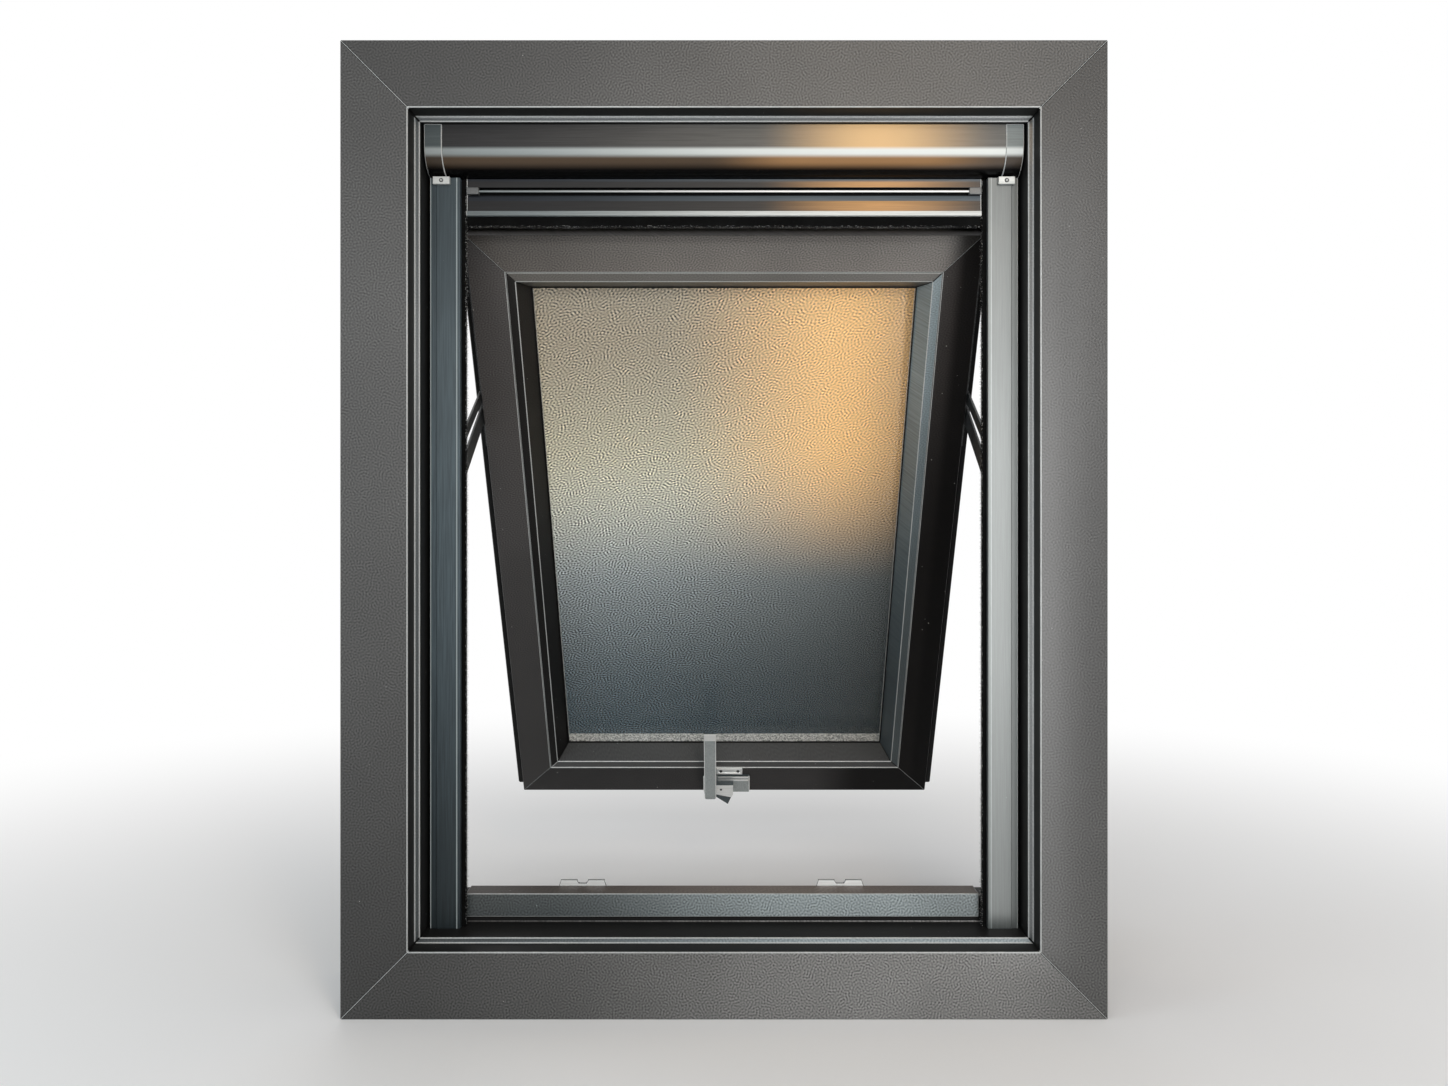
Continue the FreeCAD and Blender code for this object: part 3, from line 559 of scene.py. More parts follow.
def satin_metal(
    name, low, high, roughness, gloss, metal=0.0, drawn=UNDRAWN, cast=PLAIN_CAST,
    falls=(), lines=(), highlight_tone=None,
):
    """Drawn metal: streaks along its length, faint clouds, a few specks, painted highlight lines if given,
    and falls that paint light and shade.
    """
    material, tree, shader, coords = start_finish(name, roughness, gloss, metal)
    streaks = drawn_streaks(tree, coords, drawn)
    clouds = noise(tree, coords, METAL_CLOUDS, 3.0)
    colour = blend(tree, ramp(tree, streaks, 0.3, 0.7), tone(*low), tone(*high))
    colour = blend(tree, ramp(tree, clouds, 0.35, 0.7, 0.0, 0.3), colour, tone(*low))
    colour = dim(tree, colour, painted_light_fall(tree, coords, falls))
    for start, end in lines:
        colour = blend(tree, painted_highlight_line(tree, coords, start, end), colour, tone(*highlight_tone))
    specks = ramp(tree, noise(tree, coords, METAL_SPECKS, 0.0), 0.88, 0.90, 0.0, 0.6)
    paint(tree, shader, blend(tree, specks, colour, SPECK_TONE))
    rough = ramp(tree, clouds, 0.3, 0.7, roughness * 0.98, roughness * 1.03)
    tree.links.new(rough, shader.inputs["Roughness"])
    shader.inputs["Specular Tint"].default_value = cast
    bump(tree, shader, streaks, STREAK_DEPTH)
    return material


# Painted highlight lines along the inner and outer edges of the rails.
RAIL_HIGHLIGHTS = [(0.2722, 0.2730), (0.2990, 0.3010)]
# One rail metal in two copies: the left one darker, with falls that paint its shade dimmer at top and
# bottom; the right one lighter and glossier, lit by the card. Both have the painted highlight lines.
rail_metals = {
    "left": satin_metal(
        "rail_satin_left", (42, 49, 53), (56, 66, 71), 0.38, 0.35, drawn=ALONG_Z, cast=COOL_CAST,
        falls=[("Z", 0.08, 0.45, 0.5, 1.75), ("Z", 0.55, 0.84, 1.0, 0.6)],
        lines=RAIL_HIGHLIGHTS, highlight_tone=(150, 160, 162),
    ),
    "right": satin_metal(
        "rail_satin_right", (62, 66, 66), (76, 81, 81), 0.28, 1.0, drawn=ALONG_Z,
        lines=RAIL_HIGHLIGHTS, highlight_tone=(126, 133, 133),
    ),
}
bright_metal = satin_metal("bright_zinc", (172, 176, 175), (204, 207, 205), 0.34, 0.6, 0.15, ALONG_X)
# Painted shade at the lever's foot: its tone dims to about a fifth over the lowest 16 mm.
LEVER_SHADE = 0.016
lever_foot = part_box("handle_lever")[0].z
handle_face = satin_metal(
    "handle_satin", (146, 153, 154), (170, 176, 176), 0.40, 0.5, 0.1, ALONG_LEVER,
    falls=[("Z", lever_foot, lever_foot + LEVER_SHADE, 0.22, 1.0)],
)
# Light and dark copies of the handle's metal. The light one is the bright polish of the keep plate and the
# strikers, and a painted highlight on the handle; the dark one is a painted shade.
polish_and_highlight = satin_metal("handle_polish_and_highlight", (236, 239, 238), (250, 251, 250), 0.34, 0.8, 0.5, ALONG_X)
handle_shade = satin_metal("handle_shaded", (66, 74, 77), (88, 96, 99), 0.42, 0.3, 0.1)
stay_steel = satin_metal("stay_steel", (44, 45, 46), (78, 80, 82), 0.34, 0.6, 0.4, ALONG_Z)
print("satin metals for the rails, the handle and the stays ready")

# %% Plastic, rubber and brush pile
BLOOM_SCALE = 40
HAIR_SCALE = 620


def moulded(name, base, light, roughness, gloss, scale, depth):
    """Moulded plastic or rubber: a fine even texture and a slightly dusty bloom."""
    material, tree, shader, coords = start_finish(name, roughness, gloss)
    fine = noise(tree, coords, scale)
    bloom = ramp(tree, noise(tree, coords, BLOOM_SCALE, 3.0), 0.45, 0.75, 0.0, 0.6)
    colour = blend(tree, ramp(tree, fine, 0.4, 0.7, 0.0, 0.5), tone(*base), tone(*light))
    paint(tree, shader, blend(tree, bloom, colour, tone(*light)))
    bump(tree, shader, fine, depth)
    return material


def pile(name, base, tip):
    """Black hairs, some of whose tips take a painted glint of light."""
    material, tree, shader, coords = start_finish(name, 0.6, 0.15)
    lit = ramp(tree, noise(tree, coords, HAIR_SCALE, 0.0), 0.64, 0.70)
    paint(tree, shader, blend(tree, lit, tone(*base), tone(*tip)))
    return material


holder_plastic = moulded("holder_plastic", (74, 77, 78), (100, 103, 103), 0.36, 0.6, 900, 0.01)
black_rubber = moulded("black_rubber", (9, 9, 9), (22, 22, 22), 0.55, 0.25, 1200, 0.03)
brush_core = moulded("brush_core", (8, 8, 8), (20, 21, 21), 0.9, 0.05, 1400, 0.20)
# Black pile with painted glints on some tips.
brush_hair = pile("brush_hair", (11, 11, 12), (190, 192, 190))
print("plastic, rubber and pile ready")

# %% [markdown]
# ## Eased edges
# No real extrusion has a knife edge: the bright lines along the frame, the beads and the rails are
# rounded edges that catch the light. The solids arrive as loose triangles, so each is copied, its doubles
# are merged and its flat facets joined, and a Bevel modifier rounds the edges. Long edges get the full
# width, and most cut ends a smaller one, which leaves a fine V along each mitre. The bevel's own faces
# take a lighter finish, a painted highlight, and weighted normals keep the broad faces flat, so that only
# the rounded edges bend the light.

# %% Helpers for eased copies
MERGE_DISTANCE = 0.002 * MM
FLAT_JOIN = math.radians(1.0)
EDGE_ANGLE = math.radians(28)
SAME_WAY = 0.98
FLAT_WEIGHT = 95
ACROSS = Vector((1, 0, 0))
UP = Vector((0, 0, 1))


def weighed_copy(node, name, along, end_share):
    """A copy of a solid's mesh with shared corners and whole flat faces. Sharp edges have a bevel weight:
    full if they run along the piece, and a share of it if they run across."""
    shape = bmesh.new()
    shape.from_mesh(nodes[node].data)
    bmesh.ops.remove_doubles(shape, verts=shape.verts, dist=MERGE_DISTANCE)
    bmesh.ops.dissolve_limit(shape, angle_limit=FLAT_JOIN, verts=shape.verts, edges=shape.edges)
    shape.normal_update()
    weight = shape.edges.layers.float.new("bevel_weight_edge")
    for edge in shape.edges:
        if len(edge.link_faces) != 2 or edge.calc_face_angle() < EDGE_ANGLE:
            continue
        run = (edge.verts[1].co - edge.verts[0].co).normalized()
        edge[weight] = 1.0 if along is None or abs(run.dot(along)) > SAME_WAY else end_share
    return mesh_from(shape, name)


def plain_mesh(obj):
    """The evaluated mesh of an object, as a plain mesh with no modifier left."""
    evaluated = obj.evaluated_get(bpy.context.evaluated_depsgraph_get())
    mesh = bpy.data.meshes.new_from_object(evaluated)
    obj.modifiers.clear()
    old = obj.data
    obj.data = mesh
    bpy.data.meshes.remove(old)
    mesh.name = obj.name
    return mesh


def eased_piece(node, width, finishes, along=None, end_share=0.5, sort=None):
    """Replaces a solid by a copy with edges rounded to a width in mm, which take the second finish."""
    name = node + "_eased"
    piece = linked(name, weighed_copy(node, name, along, end_share))
    for finish in finishes:
        piece.data.materials.append(finish)
    bevel = piece.modifiers.new("eased_edges", "BEVEL")
    bevel.limit_method = "WEIGHT"
    bevel.width = width * MM
    bevel.segments = 2
    bevel.use_clamp_overlap = True
    bevel.material = min(1, len(finishes) - 1)
    piece.data.shade_smooth()
    flat = piece.modifiers.new("flat_faces", "WEIGHTED_NORMAL")
    flat.mode = "FACE_AREA_WITH_ANGLE"
    flat.weight = FLAT_WEIGHT
    mesh = plain_mesh(piece)
    if sort:
        for face in mesh.polygons:
            face.material_index = sort(face)
    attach(piece, nodes[node]["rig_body"])
    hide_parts(node)
    return piece


print("edges over", round(math.degrees(EDGE_ANGLE)), "degrees are eased")

# %% [markdown]
# ## The outer frame
# Four mitred hollow profiles make the frame. Its broad face is coated in charcoal, the walls of the
# reveal take a near-black coat that paints their shade, and the narrow step between them is a cooler
# satin. The eased faces across each mitre take that shade coat too, and the eased inner edge of the face
# takes the painted edge highlight. Which face is which follows from two numbers: how far it lies from
# the outer edge, and how deep it lies behind the face.

# %% Dress the four frame members
FACE_WIDTH = 66 * MM
STEP_FRONT = 23.5 * MM
TOUCH = 0.6 * MM
EDGE_REACH = 4 * TOUCH
ASLANT = 0.2
SQUARE_ON = 0.9
frame_low, frame_high = solid_box
frame_members = {
    "frame_sill": (ACROSS, lambda c: c.z - frame_low[2]),
    "frame_head": (ACROSS, lambda c: frame_high[2] - c.z),
    "frame_left_jamb": (UP, lambda c: c.x - frame_low[0]),
    "frame_right_jamb": (UP, lambda c: frame_high[0] - c.x),
}
COAT, EDGE, SHADE, STEP = range(4)


def frame_sorter(along, inset):
    def sort(face):
        depth = face.center.y - face_plane
        inward = inset(face.center)
        if face.material_index == EDGE:
            if abs(face.normal.dot(along)) > ASLANT:
                return SHADE
            return EDGE if inward > FACE_WIDTH - EDGE_REACH and depth < STEP_FRONT + EDGE_REACH else COAT
        if inward > FACE_WIDTH - TOUCH:
            on_step = abs(depth - STEP_FRONT) < TOUCH and face.normal.y < -SQUARE_ON
            return STEP if on_step else SHADE
        return COAT
    return sort


for node, (along, inset) in frame_members.items():
    step = sill_step_coat if node == "frame_sill" else step_coat
    coats = [frame_coats[node.removeprefix("frame_")], edge_highlight, reveal_coat, step]
    piece = eased_piece(node, 1.1, coats, along, 0.8, frame_sorter(along, inset))
    print(piece.name, len(piece.data.polygons), "faces")

# %% [markdown]
# ## Roller screen
# The screen is wound up in a round case at the head of the reveal. The case and its two caps, the guide
# rails and the pull bar look like satin metal, and the cover strip on the sill is coated. Much of their
# light is painted: on the case a highlight band where the flat front turns into the round, a warm
# reflection on the round below it, shade underneath and the glow of the warm lamp; on the pull bar a
# bright lip, a shaded groove and the same glow; and most of it is lighter to the right. Such a finish is
# painted in layers: each tone takes over from the one before at its own distance from an edge.

# %% Layered finishes of the screen
def layered(tree, place, colour, layers):
    """Lays tones over each other. Each takes over between two places in mm."""
    for start, end, layer in layers:
        colour = blend(tree, ramp(tree, place, start * MM, end * MM), colour, layer)
    return colour


def left_to_right(tree, share, tones):
    left, right = tones
    return blend(tree, share, tone(*left), tone(*right))


def streaked(tree, colour, streaks):
    return dim(tree, colour, ramp(tree, streaks, 0.3, 0.7, 0.88, 1.12))


def case_finish(name, top, flats, bands, unders, glow=None):
    """Satin metal by distance from its top edge: flat front, a painted highlight band, a painted warm
    reflection on the round, and painted shade below; the flat front and the band are lighter to the right
    as painted light. Flats and bands have a left and a right tone, and unders one for both ends and one for
    the middle."""
    material, tree, shader, coords = start_finish(name, 0.27, 0.15)
    across, _, up = split(tree, coords)
    streaks = drawn_streaks(tree, coords, ALONG_X)
    # Painted light: the flat front and the band go from a darker left to a lighter right.
    side = ramp(tree, across, -0.28, 0.16)
    flat = streaked(tree, left_to_right(tree, side, flats), streaks)
    if glow:
        flat = blend(tree, painted_lamp_glow(tree, coords), flat, tone(*glow))
    band = left_to_right(tree, side, bands)
    # The painted warm reflection on the round: darker at both ends, lighter in the middle.
    under = left_to_right(tree, ramp(tree, across, -0.02, 0.08), unders)
    under = blend(tree, ramp(tree, across, 0.20, 0.28), under, tone(*unders[0]))
    from_top = math_node(tree, "SUBTRACT", top, up)
    # From the top edge down: the painted highlight band, the painted warm reflection, and near-black
    # painted shade underneath.
    layers = [(21.5, 26.0, band), (28.5, 33.5, under), (36.0, 43.0, tone(6, 6, 6))]
    paint(tree, shader, layered(tree, from_top, flat, layers))
    bump(tree, shader, streaks, STREAK_DEPTH)
    return material


def bar_finish(name, bottom):
    """Drawn metal by height: a lip with a painted highlight, a plate, a slate strip, the rod's groove in
    painted shade, a second plate and slate again on top. The lip, the plates and the slate are lighter to
    the right as painted light, and the plates carry the painted glow of the warm lamp.
    """
    material, tree, shader, coords = start_finish(name, 0.30, 0.2)
    across, _, up = split(tree, coords)
    streaks = drawn_streaks(tree, coords, ALONG_X)
    # Painted light: the lip, the plates and the slate go from a darker left to a lighter right.
    side = ramp(tree, across, -0.25, 0.15)
    # A painted highlight on the lip.
    lip = left_to_right(tree, side, ((104, 112, 114), (204, 207, 205)))
    plate = left_to_right(tree, side, ((33, 33, 34), (58, 57, 56)))
    # The painted glow of the warm lamp on the plates.
    plate = blend(tree, painted_lamp_glow(tree, coords), plate, tone(180, 137, 89))
    slate = left_to_right(tree, side, ((30, 34, 40), (84, 92, 98)))
    # Painted shade in the rod's groove.
    groove = tone(5, 5, 6)
    height = math_node(tree, "SUBTRACT", up, bottom)
    layers = [
        (4.2, 5.0, plate), (15.0, 15.8, slate), (20.6, 21.6, groove),
        (29.2, 29.8, plate), (34.0, 37.0, slate),
    ]
    paint(tree, shader, streaked(tree, layered(tree, height, lip, layers), streaks))
    bump(tree, shader, streaks, STREAK_DEPTH)
    return material


def rod_finish(name, middle):
    """A round bright rod: a painted highlight along its middle and painted shade above and below. The
    highlight is brighter to the right, as painted light.
    """
    material, tree, shader, coords = start_finish(name, 0.30, 0.3)
    across, _, up = split(tree, coords)
    lit = left_to_right(tree, ramp(tree, across, -0.25, 0.12), ((120, 128, 130), (244, 245, 244)))
    off = math_node(tree, "ABSOLUTE", math_node(tree, "SUBTRACT", up, middle))
    paint(tree, shader, layered(tree, off, lit, [(0.7, 1.2, tone(24, 26, 28))]))
    return material


case_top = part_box("screen_cassette")[1].z
# Tones of the flat front and of the painted highlight band, left and right; of the painted warm reflection
# on the round, at the ends and in the middle; and for the case the painted lamp glow.
case_metal = case_finish(
    "case_satin", case_top, ((48, 48, 49), (102, 101, 98)), ((130, 138, 139), (216, 221, 219)),
    ((74, 61, 48), (146, 111, 75)), (214, 178, 130),
)
cap_metal = case_finish(
    "cap_satin", case_top, ((74, 82, 84), (120, 127, 127)), ((140, 148, 149), (200, 206, 205)),
    ((62, 54, 46), (84, 72, 58)),
)
bar_metal = bar_finish("pull_bar_satin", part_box("pull_bar")[0].z)
rod_low, rod_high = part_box("pull_bar_rod")
rod_metal = rod_finish("rod_bright", (rod_low.z + rod_high.z) / 2)
print("case top at", round(case_top, 3), "m")

# %% Dress the screen
STRIP_FRONT, STRIP_EDGE, STRIP_TOP = range(3)


def rail_sorter(face):
    return 1 if face.material_index == 1 and abs(face.center.x) > RAIL_HIGHLIGHTS[1][0] else 0


def bar_sorter(face):
    return 1 if face.material_index == 1 and abs(face.normal.x) > ASLANT and face.normal.y < -ASLANT else 0


def strip_sorter(face):
    if face.material_index == STRIP_EDGE:
        return STRIP_EDGE
    return STRIP_TOP if face.normal.z > SQUARE_ON else STRIP_FRONT


eased_piece("screen_cassette", 0.4, [case_metal], ACROSS)
for hand in ("left", "right"):
    rail_finishes = [rail_metals[hand], edge_highlight]
    eased_piece("guide_rail_" + hand, 0.8, rail_finishes, UP, 0.6, rail_sorter)
    eased_piece("cassette_end_cap_" + hand, 0.9, [cap_metal, edge_highlight])
    eased_piece("rail_clip_" + hand, 0.5, [bright_metal, stay_steel])
    eased_piece("rod_holder_" + hand, 0.6, [holder_plastic])
    eased_piece("striker_" + hand, 0.5, [polish_and_highlight, stay_steel])
eased_piece("pull_bar", 0.7, [bar_metal, strong_edge_highlight], ACROSS, 1.8, bar_sorter)
strip_coats = [strip_front, edge_highlight, strip_top]
eased_piece("sill_cover_strip", 0.9, strip_coats, ACROSS, 0.6, strip_sorter)
print("screen pieces dressed")

# %% [markdown]
# ## The sash
# The sash swings out at the bottom, so its pieces lie along tilted axes. The handle turns about the
# normal of the sash, so the joint's axis gives the tilt and no angle has to be repeated. Stiles and rails
# are mitred and coated like the frame, and the sloped glazing beads sit inside them. Each member and bead
# wears its own copy of the coat, with painted light and shade; their eased edges towards the room take a
# painted highlight, strongest on the bottom rail and its bead, and the eased faces across each mitre take
# the painted shade coat.

# %% Dress the sash and its beads
SASH_FLANGE = 14 * MM
OUT = Vector(frame["joints"][0]["axis"]).normalized()
ALONG_SASH = ACROSS.cross(OUT)
to_sash = Matrix((ACROSS, OUT, ALONG_SASH))
from_sash = to_sash.inverted()


def sash_box(node):
    """Lowest and highest corner of a node along the sash's own axes: across, out and up."""
    corners = [to_sash @ vertex.co for vertex in nodes[node].data.vertices]
    low = Vector([min(c[axis] for c in corners) for axis in range(3)])
    high = Vector([max(c[axis] for c in corners) for axis in range(3)])
    return low, high


outer_left, outer_right = sash_box("sash_left_stile")[0].x, sash_box("sash_right_stile")[1].x
outer_low, outer_high = sash_box("sash_bottom_rail")[0].z, sash_box("sash_top_rail")[1].z
sash_front = sash_box("sash_bottom_rail")[0].y


def sash_sorter(along):
    def sort(face):
        place = to_sash @ face.center
        rim = min(place.x - outer_left, outer_right - place.x, place.z - outer_low, outer_high - place.z)
        if face.material_index == EDGE:
            if abs(face.normal.dot(along)) > ASLANT:
                return SHADE
            return EDGE if face.normal.dot(OUT) < -ASLANT and rim > SASH_FLANGE + EDGE_REACH else COAT
        return COAT
    return sort


for place, along in (("bottom", ACROSS), ("top", ACROSS), ("left", ALONG_SASH), ("right", ALONG_SASH)):
    member = "sash_" + place + ("_rail" if along == ACROSS else "_stile")
    # The bottom rail and its bead take the stronger painted edge highlight.
    edge = strong_edge_highlight if place == "bottom" else edge_highlight
    for node, width, coat in ((member, 0.8, sash_coats[place]), ("bead_" + place, 0.7, bead_coats[place])):
        eased_piece(node, width, [coat, edge, reveal_coat], along, 0.9, sash_sorter(along))
print("sash tilt", round(math.degrees(math.asin(OUT.z)), 1), "degrees")

# %% [markdown]
# ## Stays and handle
# Flat steel arms hold the sash open, and a satin silver handle with a bright keep plate closes it. They
# are small, so light edges do most of the work. On the handle, a face takes its finish from how far it
# stands out from the sash and which way it looks: bevels and aslant faces take a painted highlight, the
# ribs and the shelf the same light tone, and the sides and the lower part of the nose a painted shade.

# %% Dress the stays and the handle
PLAIN, POLISH_AND_HIGHLIGHT, SHADED = range(3)
RIB_FRONT = 4.2 * MM
NOSE_FRONT = 17.0 * MM
SHELF_FRONT = 19.5 * MM
EDGE_LIT, SIDE_LIT, FACE_LIT = 0.1, 0.3, 0.97


# Painted highlight on bevels and aslant faces, the same light tone on ribs and shelf, painted shade on the
# sides and the front of the nose.
def handle_sorter(face):
    facing = -face.normal.dot(OUT)
    stand_out = sash_front - (to_sash @ face.center).y
    if face.material_index == POLISH_AND_HIGHLIGHT:
        return POLISH_AND_HIGHLIGHT if facing > EDGE_LIT else SHADED
    if facing < SIDE_LIT:
        return SHADED
    if facing < FACE_LIT:
        return POLISH_AND_HIGHLIGHT
    if abs(stand_out - NOSE_FRONT) < TOUCH:
        return SHADED
    on_shelf = abs(stand_out - SHELF_FRONT) < TOUCH
    on_rib = RIB_FRONT < stand_out < RIB_FRONT + 2 * TOUCH
    return POLISH_AND_HIGHLIGHT if on_shelf or on_rib else PLAIN


for hand in ("left", "right"):
    for part in ("track", "sash_bar", "long_arm", "short_arm"):
        eased_piece(f"stay_{part}_{hand}", 0.35, [stay_steel])
handle_metals = [handle_face, polish_and_highlight, handle_shade]
for node, width in (("handle_base", 0.5), ("handle_lever", 0.8)):
    eased_piece(node, width, handle_metals, sort=handle_sorter)
eased_piece("handle_keep_plate", 0.5, [polish_and_highlight])
print("stays and handle dressed")

# %% [markdown]
# ## Pieces that keep their solid
# A rod, a spacer, seals and brush backings are simple enough to show as they are, so only their finish is
# set.

# %% Finish the plain solids
SPARKLE_SCALE = 420


def wear(node, finish):
    mesh = nodes[node].data
    mesh.materials.clear()
    mesh.materials.append(finish)


def spacer_metal():
    """The spacer between the panes is bright rolled metal, pricked with fine holes. Its sparkle is painted:
    random near-white specks, with a matching bump.
    """
    material, tree, shader, coords = start_finish("spacer_bright", 0.45, 0.6)
    sparkle = noise(tree, coords, SPARKLE_SCALE, 2.0, 0.7)
    colour = blend(tree, ramp(tree, sparkle, 0.38, 0.60), tone(140, 142, 138), tone(254, 253, 248))
    paint(tree, shader, colour)
    bump(tree, shader, sparkle, 0.10)
    return material


plain_finishes = {
    "pull_bar_rod": rod_metal, "glass_spacer": spacer_metal(),
    "sash_seal": black_rubber, "glazing_gasket": black_rubber,
    "rail_brush_left": brush_core, "rail_brush_right": brush_core, "pull_bar_brush": brush_core,
}
for node, finish in plain_finishes.items():
    wear(node, finish)
print("plain solids finished:", len(plain_finishes))

# %% [markdown]
# ## Glass
# The inner pane is clear. The outer one is obscure glass: its inner face is rolled with a winding ripple,
# and daylight and lamplight behind it show only as soft clouds of colour. These clouds are painted light:
# a few soft ramps over the pane, which also glow from it as emission, and the ripple lightens and darkens
# them as a painted relief shade. Heights and sides of the pane go from 0 to 1.

# %% Glass finishes
RIPPLE_LENGTH = 4.0 * MM
RIPPLE_WAVES = 2.8
RIPPLE_DEPTH = 0.2
THROUGH_LIGHT = 0.35
CLEAR_ALPHA = 0.05
DARKEST = 0.1


def clear_glass():
    material, tree, shader, coords = start_finish("clear_glass", 0.04, 0.5)
    film = noise(tree, coords, 30, 3.0)
    paint(tree, shader, blend(tree, film, tone(150, 158, 156), tone(180, 188, 186)))
    shader.inputs["Alpha"].default_value = CLEAR_ALPHA
    return material


def pane_clouds(tree, side, height, glow):
    """Painted light seen through the pane: dusk in the lower part and day above it, with a warm lamp glow
    on one side. Both darken to the right.
    """
    dusk = blend(tree, ramp(tree, height, 0.06, 0.96), tone(55, 67, 74), tone(205, 211, 210))
    dusk = dim(tree, dusk, ramp(tree, side, 0.1, 1.6, 1.0, -0.3))
    day = blend(tree, ramp(tree, height, 0.54, 0.91), tone(181, 177, 156), tone(142, 132, 114))
    day = blend(tree, glow, day, tone(228, 181, 117))
    day = dim(tree, day, ramp(tree, side, 0.72, 1.79, 1.0, -3.0))
    return blend(tree, ramp(tree, height, 0.375, 0.69), dusk, day)


def obscure_glass(low, high):
    """Low and high are the corners of the pane's box."""
    material, tree, shader, coords = start_finish("obscure_glass", 0.24, 0.5)
    across, _, up = split(tree, coords)
    side = ramp(tree, across, low.x, high.x, shape="LINEAR")
    height = ramp(tree, up, low.z, high.z, shape="LINEAR")
    glow = ramp(tree, side, 0.34, 0.87)
    ridges = ripple(tree, coords, RIPPLE_LENGTH, RIPPLE_WAVES)
    # Painted relief shade: the ripple lightens its crests and darkens its hollows, most in the lower part
    # and least in the glow.
    contrast = ramp(tree, height, 0.1, 0.5, 6.2, 4.4)
    contrast = math_node(tree, "MULTIPLY", contrast, ramp(tree, glow, 0, 1, 1.0, 0.55))
    lift = math_node(tree, "MULTIPLY", math_node(tree, "SUBTRACT", ridges, 0.5), contrast)
    light = math_node(tree, "MAXIMUM", math_node(tree, "ADD", lift, 1.0), DARKEST)
    colour = dim(tree, pane_clouds(tree, side, height, glow), light)
    paint(tree, shader, colour)
    # The painted light also glows from the pane as emission, though the pane is no lamp.
    tree.links.new(colour, shader.inputs["Emission Color"])
    shader.inputs["Emission Strength"].default_value = THROUGH_LIGHT
    bump(tree, shader, ridges, RIPPLE_DEPTH)
    return material


pane_low, pane_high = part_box("glass_outer_pane")
room_glass = obscure_glass(pane_low, pane_high)
wear("glass_inner_pane", clear_glass())
print("pane", [round(v, 3) for v in pane_high - pane_low])

# %% [markdown]
# ## A relief for the obscure pane
# The fine ripple is bump, because its ridges are closer than a light mesh can follow. Rolled glass is
# also wavy over the width of a hand, and that is real geometry: Geometry Nodes raise a grid by the sine
# of a soft noise. The tree takes its sizes as named inputs, so another pane would need only other
# numbers.

# %% Helpers for geometry trees
def geometry_tree(name, sockets):
    """A new geometry tree with named inputs, and the sockets that give their values inside it."""
    tree = bpy.data.node_groups.new(name, "GeometryNodeTree")
    tree.interface.new_socket("Geometry", in_out="INPUT", socket_type="NodeSocketGeometry")
    for label, kind in sockets.items():
        tree.interface.new_socket(label, in_out="INPUT", socket_type=kind)
    tree.interface.new_socket("Geometry", in_out="OUTPUT", socket_type="NodeSocketGeometry")
    return tree, add_node(tree, "NodeGroupInput", give=None)


def close_tree(tree, geometry, finish):
    """Ends a tree in real geometry with its finish on it."""
    real = add_node(tree, "GeometryNodeRealizeInstances", {"Geometry": geometry})
    dressed = add_node(tree, "GeometryNodeSetMaterial", {"Geometry": real, "Material": finish})
    add_node(tree, "NodeGroupOutput", {"Geometry": dressed}, None)
    return tree


def grow(name, mesh, tree, values, body):
    """Runs a geometry tree on a mesh and keeps the result as a plain piece that rides on a body."""
    piece = linked(name, mesh)
    modifier = piece.modifiers.new(name, "NODES")
    modifier.node_group = tree
    for item in tree.interface.items_tree:
        if item.in_out == "INPUT" and item.name in values:
            modifier[item.identifier] = values[item.name]
    result = plain_mesh(piece)
    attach(piece, body)
    print(name, len(result.polygons), "faces")
    return piece


# %% Grow the relief
RELIEF_STEP = 2.2 * MM
FLOAT = "NodeSocketFloat"
MATERIAL = "NodeSocketMaterial"


def relief_tree():
    tree, given = geometry_tree(
        "rolled_glass_relief", {"Scale": FLOAT, "Windings": FLOAT, "Rise": FLOAT, "Finish": MATERIAL},
    )
    place = add_node(tree, "GeometryNodeInputPosition")
    field = add_node(tree, "ShaderNodeTexNoise", {"Vector": place, "Scale": given["Scale"], "Detail": 1.0})
    turns = math_node(tree, "MULTIPLY", field, math_node(tree, "MULTIPLY", given["Windings"], 2 * math.pi))
    rise = math_node(tree, "MULTIPLY", math_node(tree, "SINE", turns), given["Rise"])
    front = add_node(tree, "GeometryNodeInputNamedAttribute", {"Name": "rolled"}, data_type="FLOAT")
    lifted = add_node(tree, "GeometryNodeSetPosition", {
        "Geometry": given["Geometry"], "Selection": math_node(tree, "GREATER_THAN", front, 0.5),
        "Offset": dim(tree, tuple(-OUT), rise),
    })
    smooth = add_node(tree, "GeometryNodeSetShadeSmooth", {"Geometry": lifted})
    return close_tree(tree, smooth, given["Finish"])


